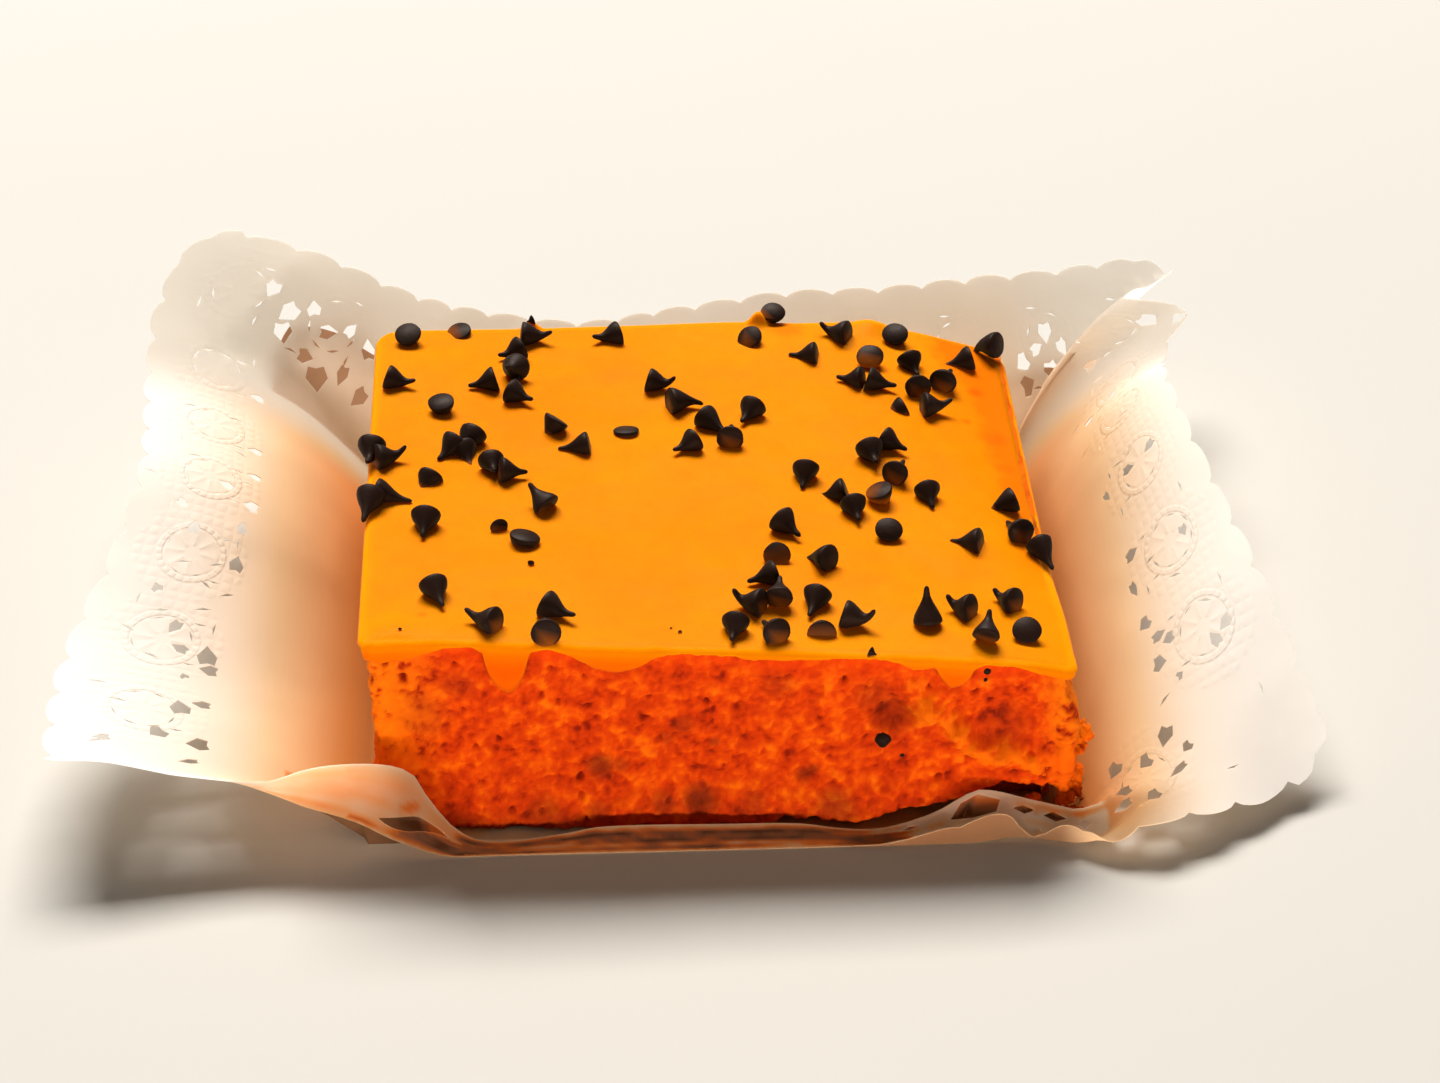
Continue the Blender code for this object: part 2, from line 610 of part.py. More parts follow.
def main():
    for thing in list(bpy.data.objects):
        bpy.data.objects.remove(thing)
    cake = collection("orange cake")
    sponge = build_sponge(cake)
    icing = build_icing(cake)
    paper = build_paper(cake)
    for thing, colour, roughness in ((sponge, (0.80, 0.27, 0.04), 0.9), (icing, (0.90, 0.48, 0.07), 0.45),
                                     (paper, (0.92, 0.88, 0.82), 0.8)):
        thing.data.materials.clear()
        thing.data.materials.append(material(thing.name + " colour", colour, roughness))


main()
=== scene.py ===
"""Square slice of orange cake with icing and chocolate drops in its folded paper lace, dressed for rendering."""
import math
import random

import bmesh
import bpy
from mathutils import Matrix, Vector, noise
from mathutils.geometry import delaunay_2d_cdt


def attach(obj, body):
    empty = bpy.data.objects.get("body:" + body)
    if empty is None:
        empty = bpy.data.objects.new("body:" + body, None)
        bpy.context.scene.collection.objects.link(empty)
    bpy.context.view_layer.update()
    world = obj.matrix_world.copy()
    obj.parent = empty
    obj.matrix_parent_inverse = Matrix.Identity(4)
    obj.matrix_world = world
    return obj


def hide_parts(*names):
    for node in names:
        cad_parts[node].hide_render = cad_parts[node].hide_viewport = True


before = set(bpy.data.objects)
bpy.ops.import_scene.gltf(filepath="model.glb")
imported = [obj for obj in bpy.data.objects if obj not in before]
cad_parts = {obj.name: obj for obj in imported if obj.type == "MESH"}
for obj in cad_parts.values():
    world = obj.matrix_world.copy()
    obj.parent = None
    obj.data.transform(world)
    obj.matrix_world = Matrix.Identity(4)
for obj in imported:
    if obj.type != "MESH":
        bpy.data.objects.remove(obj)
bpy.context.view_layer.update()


# Table, light and camera
# The cake stands on a plain pale table. One soft light stands high behind it, so the shadow lies
# just in front of it, and a weak low one in front lights the cut face. Lengths are in millimetres.
MM = 0.001
CAMERA_RISE = 33.0
CAMERA_TURN = -2.7
CAMERA_FAR = 674.0
CAMERA_AIM = (3.5, 32.9, 0.0)
CAMERA_LENS = 92.5

scene = bpy.context.scene
scene.view_settings.view_transform = "Standard"
scene.view_settings.look = "None"


def metres(p):
    return Vector(p) * MM


def add_node(tree, kind, inputs=None, **settings):
    """A shader node with its settings; an input is a value or another node's socket."""
    made = tree.nodes.new(kind)
    for key, value in settings.items():
        setattr(made, key, value)
    for key, value in (inputs or {}).items():
        if isinstance(value, bpy.types.NodeSocket):
            tree.links.new(value, made.inputs[key])
        else:
            made.inputs[key].default_value = value
    return made


def surface(name, **constants):
    """A material with one Principled shader whose plain numbers are set on the shader itself."""
    made = bpy.data.materials.new(name)
    made.use_nodes = True
    tree = made.node_tree
    shader = tree.nodes["Principled BSDF"]
    for key, value in constants.items():
        shader.inputs[key.replace("_", " ")].default_value = value
    return made, tree, shader


def ramp(tree, fac, stops, interpolation="LINEAR"):
    """A colour ramp from (place, colour) stops."""
    made = add_node(tree, "ShaderNodeValToRGB", {"Fac": fac})
    made.color_ramp.interpolation = interpolation
    elements = made.color_ramp.elements
    while len(elements) < len(stops):
        elements.new(0.5)
    for element, (place, colour) in zip(elements, stops):
        element.position = place
        element.color = (*colour, 1.0)
    return made.outputs["Color"]


def band(tree, value, low, high):
    """0 to 1 as value goes from low to high."""
    made = add_node(tree, "ShaderNodeMapRange", {"Value": value, "From Min": low, "From Max": high},
                    interpolation_type="SMOOTHSTEP")
    return made.outputs["Result"]


def blend(tree, fac, a, b, way="MIX"):
    made = add_node(tree, "ShaderNodeMix", data_type="RGBA", blend_type=way)
    for socket, value in ((made.inputs[0], fac), (made.inputs[6], a), (made.inputs[7], b)):
        if isinstance(value, bpy.types.NodeSocket):
            tree.links.new(value, socket)
        elif isinstance(value, tuple):
            socket.default_value = (*value, 1.0)
        else:
            socket.default_value = value
    return made.outputs[2]


def maths(tree, way, a, b=0.0, c=0.0):
    return add_node(tree, "ShaderNodeMath", {0: a, 1: b, 2: c}, operation=way).outputs[0]


def relief(tree, shader, height, distance, strength=1.0):
    made = add_node(tree, "ShaderNodeBump", {"Height": height, "Distance": distance, "Strength": strength})
    tree.links.new(made.outputs["Normal"], shader.inputs["Normal"])


def new_group(name, ins, outs):
    """An empty shader node group with named sockets: (name, socket type, default)."""
    group = bpy.data.node_groups.new(name, "ShaderNodeTree")
    for label, kind, value in ins:
        socket = group.interface.new_socket(label, in_out="INPUT", socket_type=kind)
        if value is not None:
            socket.default_value = value
    for label, kind in outs:
        group.interface.new_socket(label, in_out="OUTPUT", socket_type=kind)
    return group, group.nodes.new("NodeGroupInput"), group.nodes.new("NodeGroupOutput")


def use_group(tree, group, inputs):
    made = tree.nodes.new("ShaderNodeGroup")
    made.node_tree = group
    for key, value in inputs.items():
        if isinstance(value, bpy.types.NodeSocket):
            tree.links.new(value, made.inputs[key])
        else:
            made.inputs[key].default_value = value
    return made


# Two sizes of soft blotch in one mask, used by every food and by the paper
mottle, g_in, g_out = new_group(
    "two size mottle",
    (("Vector", "NodeSocketVector", None), ("Large", "NodeSocketFloat", 60.0),
     ("Small", "NodeSocketFloat", 600.0), ("Share", "NodeSocketFloat", 0.4)),
    (("Mask", "NodeSocketFloat"), ("Fine", "NodeSocketFloat")))
big = add_node(mottle, "ShaderNodeTexNoise", {"Vector": g_in.outputs["Vector"], "Scale": g_in.outputs["Large"],
                                              "Detail": 3.0, "Roughness": 0.55})
fine = add_node(mottle, "ShaderNodeTexNoise", {"Vector": g_in.outputs["Vector"], "Scale": g_in.outputs["Small"],
                                               "Detail": 3.0, "Roughness": 0.6})
both = add_node(mottle, "ShaderNodeMix", {0: g_in.outputs["Share"], 2: big.outputs["Fac"],
                                          3: fine.outputs["Fac"]}, data_type="FLOAT")
mottle.links.new(both.outputs[0], g_out.inputs["Mask"])
mottle.links.new(fine.outputs["Fac"], g_out.inputs["Fine"])


def places(tree):
    return add_node(tree, "ShaderNodeTexCoord").outputs["Object"]


def calmer_bounce(tree, seen_colour, thrown_colour):
    """A surface that throws less of its strong colour on its neighbours than the eye sees in it."""
    seen = add_node(tree, "ShaderNodeLightPath").outputs["Is Camera Ray"]
    return blend(tree, seen, thrown_colour, seen_colour)


back = Vector((math.sin(math.radians(CAMERA_TURN)) * math.cos(math.radians(CAMERA_RISE)),
               -math.cos(math.radians(CAMERA_TURN)) * math.cos(math.radians(CAMERA_RISE)),
               math.sin(math.radians(CAMERA_RISE))))
PHOTO_WIDE = 1440
PHOTO_TALL = 1083
PHOTO_FOCAL = CAMERA_LENS / 36.0 * PHOTO_WIDE
eye = Vector(CAMERA_AIM) + back * CAMERA_FAR
rightward = Vector((math.cos(math.radians(CAMERA_TURN)), math.sin(math.radians(CAMERA_TURN)), 0.0))
skyward = back.cross(rightward)


def in_photo(p):
    """Where a place shows in the photo, in pixels."""
    d = Vector(p) - eye
    far = -d.dot(back)
    return (PHOTO_WIDE / 2 + PHOTO_FOCAL * d.dot(rightward) / far, PHOTO_TALL / 2 - PHOTO_FOCAL * d.dot(skyward) / far)


camera = bpy.data.objects.new("camera", bpy.data.cameras.new("camera"))
camera.data.lens = CAMERA_LENS
camera.data.sensor_width = 36.0
camera.data.clip_start = 0.05
camera.location = metres(Vector(CAMERA_AIM) + back * CAMERA_FAR)
camera.rotation_euler = back.to_track_quat("Z", "Y").to_euler()
scene.collection.objects.link(camera)
scene.camera = camera

world = bpy.data.worlds.new("soft room")
world.use_nodes = True
world.node_tree.nodes["Background"].inputs["Color"].default_value = (1.0, 0.975, 0.94, 1.0)
world.node_tree.nodes["Background"].inputs["Strength"].default_value = 0.105
scene.world = world


def soft_light(name, place, aim, width, power, colour):
    lamp = bpy.data.lights.new(name, "AREA")
    lamp.shape = "RECTANGLE"
    lamp.size, lamp.size_y = width[0] * MM, width[1] * MM
    lamp.energy = power
    lamp.color = colour
    made = bpy.data.objects.new(name, lamp)
    made.location = metres(place)
    made.rotation_euler = (metres(place) - metres(aim)).to_track_quat("Z", "Y").to_euler()
    scene.collection.objects.link(made)


soft_light("high back light", (-300, 2200, 2950), (0, 0, 10), (2500, 1300), 285.0, (1.0, 0.985, 0.96))
soft_light("low front fill", (0, -1200, 60), (0, -40, 20), (2600, 120), 18.0, (1.0, 0.93, 0.86))

table = bpy.data.meshes.new("table")
table.from_pydata([metres(p) for p in ((-2500, -2500, 0), (2500, -2500, 0), (2500, 3500, 0), (-2500, 3500, 0))],
                  [], [(0, 1, 2, 3)])
floor = bpy.data.objects.new("table", table)
scene.collection.objects.link(floor)
floor_finish, tree, shader = surface("pale table", Roughness=0.7)
grain = use_group(tree, mottle, {"Vector": places(tree), "Large": 4.0, "Small": 900.0, "Share": 0.25})
tree.links.new(blend(tree, grain.outputs["Mask"], (0.482, 0.452, 0.402), (0.508, 0.478, 0.428)),
               shader.inputs["Base Color"])
floor.data.materials.append(floor_finish)


# Paper lace mat
# One stamped sheet of thin white paper with a scalloped edge, wheels of cut lace and a row
# of cut diamonds round a plain middle. It lies flat under the cake and is folded up round it.
PAPER_LEFT = -111.0
PAPER_RIGHT = 105.0
PAPER_BACK = 85.0
PAPER_FRONT = -71.0
PAPER_HALF = 0.08
FLOOR_SIDE = 57.5
FLOOR_BACK = 52.5
FLOOR_FRONT = -54.2
RIDGE_ROW = -58.2
FOOT_ROW = -62.5
PAPER_CORNER = 9.0
SCALLOP = 9.4
SCALLOP_DEEP = 1.5
WHEEL_IN = 13.5
DIAMONDS_IN = 22.0

# Where the rim stands when the flat sheet is folded up: (flat place, x, y, z)
RIM_LEFT = ((-62.5, -108, -58, 20), (-54.2, -108.5, -52, 19.5), (-37, -109, -35, 18.5), (-22, -107, -21, 20),
            (-5, -101.5, -6, 26), (13, -97.5, 10, 32), (31, -98, 27, 32), (48, -99, 44, 32),
            (66, -98, 61, 37), (85, -90, 75, 46))
RIM_BACK = ((-111, -90, 75, 46), (-89, -69, 73, 40), (-68, -53, 73, 31.5), (-46, -38, 69, 29),
            (-25, -20, 68, 27), (-3, -3.5, 70, 28.3), (19, 16, 71, 30.5), (40, 35, 70.5, 31.4),
            (62, 54, 72, 32.4), (76, 68, 79, 29.5), (94, 84, 86, 27.5), (105, 95, 89, 25))
RIM_RIGHT = ((-71, 102.3, -47, 5.6), (-54.2, 97.5, -34, 14.5), (-37, 92.5, -19, 24), (-20, 88, -3.5, 30),
             (-3, 84, 13, 35), (15, 82.5, 29, 36), (31, 84.5, 43, 30.5), (40, 87, 50, 31),
             (48, 90.5, 57, 33), (57, 80, 60.5, 33.5), (70, 88, 74, 29), (85, 95, 89, 25))
# The fold along the front: its ridge, its foot on the table and the edge that turns up again
RIDGE = ((-111, -107.5, -57, 20.5), (-100, -98, -56.5, 19.5), (-88, -86.5, -56.5, 16.4),
         (-74, -73, -56.5, 14.8), (-68, -67, -56.5, 16.8), (-61, -61, -56.5, 17.7),
         (-53.5, -53.5, -56.5, 17.3), (-49.5, -49.6, -56.2, 15), (-47, -47.6, -56, 10.5),
         (-43, -43.6, -56, 4.2), (-38, -38.5, -56.3, 1.4), (-27, -26.6, -55.8, 2), (-19, -19.4, -55.5, 3.1),
         (1, 1, -55.5, 2.9), (12, 12, -55.5, 2.6), (20, 20, -55.7, 1.4), (26, 26, -55.7, 1.4),
         (34, 34, -55.5, 4.0), (40.5, 40.5, -55.5, 8.2), (44, 44, -55.5, 8.0), (49, 49, -55.6, 6.4),
         (57.5, 57.5, -56.2, 4.2))
FOOT = ((-111, -103, -47, 16), (-88, -86, -49, 12.6), (-74, -73, -55, 11.5), (-67, -67, -58.6, 11.2),
        (-59, -59, -58.8, 8), (-53.5, -53.5, -58.8, 4.4), (-45.5, -45.5, -58.6, 0.6), (-38, -38, -58.6, 0.3),
        (40, 40, -58.8, 0.3), (47, 47, -58.6, 1.0), (57.5, 57.5, -60, 0.5))
EDGE = ((20, 20, -59, 0.8), (26, 26, -60, 1.5), (38, 38, -60.6, 5.6), (45.5, 45.5, -60.8, 7.4),
        (49.4, 49.4, -60.2, 2.2), (54, 54.5, -60.8, 4.9), (57.5, 58, -61.4, 4.4), (62, 62, -64, 3.7),
        (68, 67.4, -64, 6.5), (76, 74.5, -62, 6.6), (90, 86.5, -56, 4.1), (97, 94, -51, 3.8),
        (105, 102.3, -47, 5.6))


def mix(a, b, f):
    return tuple(p + (q - p) * f for p, q in zip(a, b))


def smooth(f):
    f = min(1.0, max(0.0, f))
    return f * f * (3 - 2 * f)


def along(t, stations):
    """Smooth curve through given stations (t, value, ...)."""
    if t <= stations[0][0]:
        return stations[0][1:]
    if t >= stations[-1][0]:
        return stations[-1][1:]
    k = max(i for i in range(len(stations) - 1) if stations[i][0] <= t)
    a, b = stations[k], stations[k + 1]
    before = stations[max(k - 1, 0)]
    after = stations[min(k + 2, len(stations) - 1)]
    w = b[0] - a[0]
    f = (t - a[0]) / w
    out = []
    for p, q, r, s in zip(before[1:], a[1:], b[1:], after[1:]):
        go = (r - p) / (b[0] - before[0]) * w
        come = (s - q) / (after[0] - a[0]) * w
        out.append(q + f * go + f * f * (3 * (r - q) - 2 * go - come)
                   + f ** 3 * (2 * (q - r) + go + come))
    return tuple(out)


def wall(base, rim, share, corner):
    """A point up a wall that stands steep at its foot and flares at its rim."""
    reach, rise = 0.38 + 0.07 * corner, 0.85 - 0.15 * corner
    d = tuple(r - b for r, b in zip(rim, base))
    knee = (d[0] * reach, d[1] * reach, d[2] * rise)
    return tuple(b + 2 * share * (1 - share) * k + share * share * e for b, k, e in zip(base, knee, d))


def folded(u, v):
    """Where a place on the flat sheet lies when the sheet is folded round the cake."""
    z = PAPER_HALF
    left = u < 0
    edge = PAPER_LEFT if left else PAPER_RIGHT
    side = -FLOOR_SIDE if left else FLOOR_SIDE
    rim_side = RIM_LEFT if left else RIM_RIGHT
    over = (u - side) / (edge - side)
    if v < FLOOR_FRONT:
        return front_fold(u, v, over, side, rim_side)
    up = (v - FLOOR_BACK) / (PAPER_BACK - FLOOR_BACK)
    if over <= 0 and up <= 0:
        return (u, v, z)
    if up <= 0:
        return wall((side, v, z), along(v, rim_side), over, 0)
    if over <= 0:
        return wall((u, FLOOR_BACK, z), along(u, RIM_BACK), up, 1)
    tall, wide = PAPER_BACK - FLOOR_BACK, abs(edge - side)
    if over >= up:
        at = FLOOR_BACK + tall * up / over
        return wall((side, FLOOR_BACK, z), along(at, rim_side), over, (at - FLOOR_BACK) / (tall + wide))
    at = side + (edge - side) * over / up
    turned = 1 - abs(at - side) / (tall + wide)
    return wall((side, FLOOR_BACK, z), along(at, RIM_BACK), up, turned)


def front_fold(u, v, over, side, rim_side):
    z = PAPER_HALF
    start = (u, FLOOR_FRONT, z)
    if over > 0:
        start = wall((side, FLOOR_FRONT, z), along(FLOOR_FRONT, rim_side), over, 0)
    rows = (FLOOR_FRONT, RIDGE_ROW, FOOT_ROW, PAPER_FRONT)
    if u <= FLOOR_SIDE:
        stops = (start, along(u, RIDGE), along(u, FOOT), along(u, EDGE))
    else:
        edge = along(u, EDGE)
        fade = smooth(1 - (u - FLOOR_SIDE) / 14)
        stops = [start]
        for level, line in ((RIDGE_ROW, RIDGE), (FOOT_ROW, FOOT)):
            share = (FLOOR_FRONT - level) / (FLOOR_FRONT - PAPER_FRONT)
            plain = mix(start, edge, share)
            lip = mix((FLOOR_SIDE, FLOOR_FRONT, z), along(FLOOR_SIDE, EDGE), share)
            extra = tuple(p - q for p, q in zip(along(FLOOR_SIDE, line), lip))
            stops.append(tuple(p + e * fade for p, e in zip(plain, extra)))
        stops.append(edge)
    k = 0 if v > RIDGE_ROW else 1 if v > FOOT_ROW else 2
    p = mix(stops[k], stops[k + 1], (rows[k] - v) / (rows[k] - rows[k + 1]))
    return (p[0], p[1], max(p[2], z))


def rim_path():
    """Scalloped edge of the flat sheet, from the left of the front fold round to its right."""
    path = []
    steps = 8

    def side(a, b, inward):
        lobes = round(math.dist(a, b) / SCALLOP)
        for i in range(lobes * steps):
            dip = SCALLOP_DEEP * (1 - math.sin(math.pi * (i % steps) / steps) ** 0.6)
            p = mix(a, b, i / (lobes * steps))
            path.append((p[0] + inward[0] * dip, p[1] + inward[1] * dip))

    def turn(cx, cy, start):
        for i in range(1, 10):
            a = math.radians(start - 9 * i)
            r = PAPER_CORNER - SCALLOP_DEEP * 0.8 * smooth(1 - abs(i - 5) / 2.5)
            path.append((cx + r * math.cos(a), cy + r * math.sin(a)))

    c = PAPER_CORNER
    path.extend((PAPER_LEFT + 6 * (1 - math.sin(math.radians(a))), FOOT_ROW + 6 * (1 - math.cos(math.radians(a))))
                for a in range(0, 90, 10))
    side((PAPER_LEFT, FOOT_ROW + 6), (PAPER_LEFT, PAPER_BACK - c), (1, 0))
    turn(PAPER_LEFT + c, PAPER_BACK - c, 180)
    side((PAPER_LEFT + c, PAPER_BACK), (PAPER_RIGHT - c, PAPER_BACK), (0, -1))
    turn(PAPER_RIGHT - c, PAPER_BACK - c, 90)
    side((PAPER_RIGHT, PAPER_BACK - c), (PAPER_RIGHT, PAPER_FRONT + c), (-1, 0))
    turn(PAPER_RIGHT - c, PAPER_FRONT + c, 0)
    side((PAPER_RIGHT - c, PAPER_FRONT), (28, PAPER_FRONT), (0, 1))
    path.append((25, PAPER_FRONT + SCALLOP_DEEP))
    path.append((19, FOOT_ROW))
    for i in range(1, 65):
        path.append((19 + (PAPER_LEFT + 6 - 19) * i / 65, FOOT_ROW))
    return path


def border_places(inward, pitch, shift):
    """Centres along the lace border at one depth: (x, y, way out)."""
    spots = []
    left, right = PAPER_LEFT + inward, PAPER_RIGHT - inward
    rear, front = PAPER_BACK - inward, PAPER_FRONT + inward
    across = round((right - left) / pitch)
    down = round((rear - front) / pitch)
    for i in range(across + 1):
        u = left + (right - left) * (i + shift) / across
        if u <= right:
            spots.append((u, rear, 90))
        if FLOOR_SIDE - 32 < u < right:
            spots.append((u, front, -90))
    for i in range(1 if shift == 0 else 0, down):
        v = rear - (rear - front) * (i + shift) / down
        if v > FLOOR_FRONT + 3:
            spots.append((left, v, 180))
        spots.append((right, v, 0))
    return spots


# The folded layers gape in a long dark slot under the left flap
SLOT_LEFT = -55.5
SLOT_RIGHT = -44.0
wheels = border_places(WHEEL_IN, 2 * SCALLOP, 0)
cuts = random.Random(5)
# Cuts that stand open, as the photo shows them: middle across and down in pixels, the way the
# point looks on the flat sheet, length and half width in millimetres
OPEN_CUTS = (
    (329, 332, 200, 3.4, 1.3), (351, 330, 250, 3.1, 1.1), (368, 349, 300, 3.9, 1.5), (365, 372, 30, 3.9, 1.7),
    (359, 398, 60, 3.6, 1.4), (342, 376, 90, 3.4, 1.1), (328, 352, 150, 3.4, 1.1), (318, 379, 120, 4.7, 2.1),
    (306, 356, 190, 3.1, 1.4), (272, 290, 80, 3.6, 1.5), (288, 313, 60, 4.4, 1.8), (300, 306, 20, 2.9, 1.1),
    (283, 333, 120, 4.2, 1.7), (314, 308, 300, 3.1, 1.3), (241, 530, -90, 3.3, 0.9), (236, 565, -90, 3.5, 1.4),
    (207, 656, -80, 4.4, 1.7), (184, 676, -60, 1.4, 0.8), (180, 707, -75, 3.7, 1.7), (197, 745, 10, 3.7, 1.7),
    (188, 762, 20, 3.5, 0.7), (221, 769, 90, 2.6, 1.4), (243, 770, 60, 2.4, 1.0), (157, 732, 45, 2.9, 1.7),
    (194, 528, -90, 3.1, 1.1), (183, 503, 150, 2.6, 0.9), (157, 587, -60, 2.0, 1.0), (176, 672, 90, 2.2, 1.4),
    (101, 737, 10, 2.6, 0.9), (1022, 363, 30, 3.1, 1.6), (1050, 370, 100, 2.9, 1.7), (1028, 385, 200, 3.4, 1.7),
    (1024, 345, 80, 3.6, 1.6), (1045, 333, 90, 3.8, 1.7), (1062, 347, 120, 3.1, 1.3), (1150, 320, 100, 3.6, 2.1),
    (1178, 318, 60, 2.9, 1.6), (1134, 590, 100, 3.7, 0.8), (1107, 497, 110, 2.9, 0.7), (1145, 625, 20, 2.6, 1.5),
    (1168, 638, 0, 2.6, 1.1), (1160, 663, 160, 2.9, 1.5), (1180, 675, 200, 1.5, 0.8), (1183, 530, 90, 2.4, 1.0),
    (1225, 622, 30, 3.1, 1.1), (1115, 772, 45, 3.1, 1.7), (1145, 763, 20, 2.6, 1.8), (1165, 737, 60, 3.7, 1.6),
    (1187, 747, 30, 2.2, 1.1), (1123, 792, 0, 3.7, 1.5), (1153, 795, 20, 3.1, 1.6), (1123, 806, 0, 3.7, 1.1),
    (1178, 770, 20, 4.4, 0.8), (1095, 822, 0, 3.3, 1.3),
    (918, 822, 20, 2.9, 0.8),
)
# Diamonds of the front fold and the dark opening under its right crest, as places of the flat sheet
FOLD_CUTS = (((46.6, -59.5), (48.2, -59.0), (50.2, -59.3), (48.6, -59.9)),
             ((51.6, -59.7), (53.2, -59.1), (55.4, -59.6), (53.6, -60.2)),
             ((57.0, -60.1), (58.4, -59.6), (60.2, -60.2), (58.6, -60.8)),
             ((28.6, -59.6), (29.8, -59.1), (31.6, -59.3), (30.2, -59.8)),
             ((36.6, -59.9), (38.2, -58.7), (41.0, -58.5), (44.6, -58.9), (44.0, -60.0), (40.0, -60.4)))
# Cuts that stayed almost shut: middle across and down in pixels
SHUT_CUTS = ((197, 490), (161, 610), (203, 610), (227, 596), (183, 562), (216, 566), (127, 628), (97, 682),
             (96, 740), (176, 530), (245, 486), (240, 455), (195, 455), (150, 470), (235, 420), (190, 405),
             (205, 585), (150, 655), (118, 700), (1075, 430), (1100, 420), (1125, 415), (1085, 455), (1118, 465),
             (1150, 560), (1175, 575), (1205, 600), (1165, 700), (1120, 395), (1098, 380))


def petal(x, y, way, near, far, wide):
    """A four-sided cut of a wheel: pointed at the hub, hollow-sided at its ends."""
    a = math.radians(way)
    ahead, beside = (math.cos(a), math.sin(a)), (-math.sin(a), math.cos(a))
    shape = ((near, 0), (near * 0.45 + far * 0.55, wide), (far, wide * 0.72), (far - 0.35, 0),
             (far, -wide * 0.72), (near * 0.45 + far * 0.55, -wide))
    return [(x + ahead[0] * p + beside[0] * q, y + ahead[1] * p + beside[1] * q) for p, q in shape]


def slit(x, y, way, reach, half, thick):
    """A cut that was pressed but has stayed almost shut."""
    a = math.radians(way)
    ahead, beside = (math.cos(a), math.sin(a)), (-math.sin(a), math.cos(a))
    shape = ((reach, -half), (reach + thick, 0), (reach, half), (reach - thick * 0.4, 0))
    return [(x + ahead[0] * p + beside[0] * q, y + ahead[1] * p + beside[1] * q) for p, q in shape]


def lace_grid():
    """Places of the lace border on the flat sheet with the pixel each one shows at."""
    found = []
    for i in range(108):
        for k in range(78):
            u, v = PAPER_LEFT + 1 + 2 * i, PAPER_FRONT + 1 + 2 * k
            if max(abs(u) - FLOOR_SIDE - 8, v - FLOOR_BACK - 4) > 0 or (v < -56 and u > 20):
                found.append((u, v, *in_photo(folded(u, v))))
    return found


grid = lace_grid()


def on_sheet(px, py):
    """The place on the flat sheet that shows at a pixel of the photo."""
    u, v, _, _ = min(grid, key=lambda g: (g[2] - px) ** 2 + (g[3] - py) ** 2)
    for _ in range(4):
        ax, ay = in_photo(folded(u, v))
        bx, by = in_photo(folded(u + 0.1, v))
        cx, cy = in_photo(folded(u, v + 0.1))
        ux, uy, vx, vy = (bx - ax) * 10, (by - ay) * 10, (cx - ax) * 10, (cy - ay) * 10
        flatness = ux * vy - vx * uy
        if abs(flatness) < 1:
            break
        du = ((px - ax) * vy - (py - ay) * vx) / flatness
        dv = ((py - ay) * ux - (px - ax) * uy) / flatness
        u, v = u + min(1, max(-1, du)), v + min(1, max(-1, dv))
    return u, v


def clear(shape, holes, rim):
    """Whether a cut keeps off the edge, the fold lines and every other cut."""
    for x, y in shape:
        if not inside(x, y, rim) or min(abs(y - RIDGE_ROW), abs(y - FOOT_ROW)) < 0.15 and x < 60:
            return False
    x, y = sum(p[0] for p in shape) / len(shape), sum(p[1] for p in shape) / len(shape)
    for other in holes:
        far = max(math.hypot(p[0] - other[0][0], p[1] - other[0][1]) for p in shape)
        if far < 9 and min(math.dist(p, q) for p in shape for q in other) < 0.45:
            return False
        if far < 9 and (inside(x, y, other) or any(inside(p[0], p[1], shape) for p in other)):
            return False
    return True


def slot_row(u):
    return -61.55 + 1.35 * smooth((u - SLOT_LEFT) / (SLOT_RIGHT - SLOT_LEFT)) ** 1.5


def lace_holes(rim):
    holes = []

    def cut(shape):
        if clear(shape, holes, rim):
            holes.append(shape)

    gape = [(SLOT_LEFT + (SLOT_RIGHT - SLOT_LEFT) * i / 12, 0.45 * math.sin(math.pi * i / 12) ** 0.7) for i in range(13)]
    cut([(u, slot_row(u) + half) for u, half in gape]
        + [(u, slot_row(u) - half) for u, half in reversed(gape[1:-1])])
    for shape in FOLD_CUTS:
        cut(list(shape))
    for px, py, way, long, wide in OPEN_CUTS:
        x, y = on_sheet(px, py)
        cut(petal(x, y, way, -long / 2, long / 2, wide))
    for px, py in SHUT_CUTS:
        x, y = on_sheet(px, py)
        cut(slit(x, y, cuts.uniform(60, 120), 0.0, 1.5, 0.42))
    for x, y, way in wheels:
        shown = x < -40 or x > 60
        for i in range(8):
            turn = way + 45 * i + 22.5
            if cuts.random() < (0.12 if shown else 0.35) and not (x < -50 and y > 40):
                cut(petal(x, y, turn, 1.7, 4.9, 1.05))
            elif cuts.random() < 0.75:
                cut(slit(x, y, turn, 4.6, 1.2, 0.3))
    for x, y, way in border_places(DIAMONDS_IN, SCALLOP, 0.5):
        if y < -50 and x < FLOOR_SIDE - 25:
            continue
        if cuts.random() < 0.35:
            cut(petal(x, y, way + 180, -1.7, 1.5, cuts.uniform(0.9, 1.5)))
        else:
            cut(slit(x, y, way, 0.9, 1.3, 0.3))
    for x, y, way in border_places(DIAMONDS_IN - 3.4, SCALLOP, 0.0):
        if min(math.hypot(x - wx, y - wy) for wx, wy, _ in wheels) > 6.6 and not (y < -50 and x < FLOOR_SIDE):
            cut(slit(x, y, way + 90, 0.2, 1.2, 0.35))
    for x, y, way in border_places(7.6, 2 * SCALLOP, 0.5):
        if not (y < -50 and x < FLOOR_SIDE):
            cut(slit(x, y, way, 0.0, 1.3, 0.3))
    return holes


def inside(x, y, loop):
    hit = False
    for (ax, ay), (bx, by) in zip(loop, loop[1:] + loop[:1]):
        if (ay > y) != (by > y) and x < ax + (bx - ax) * (y - ay) / (by - ay):
            hit = not hit
    return hit


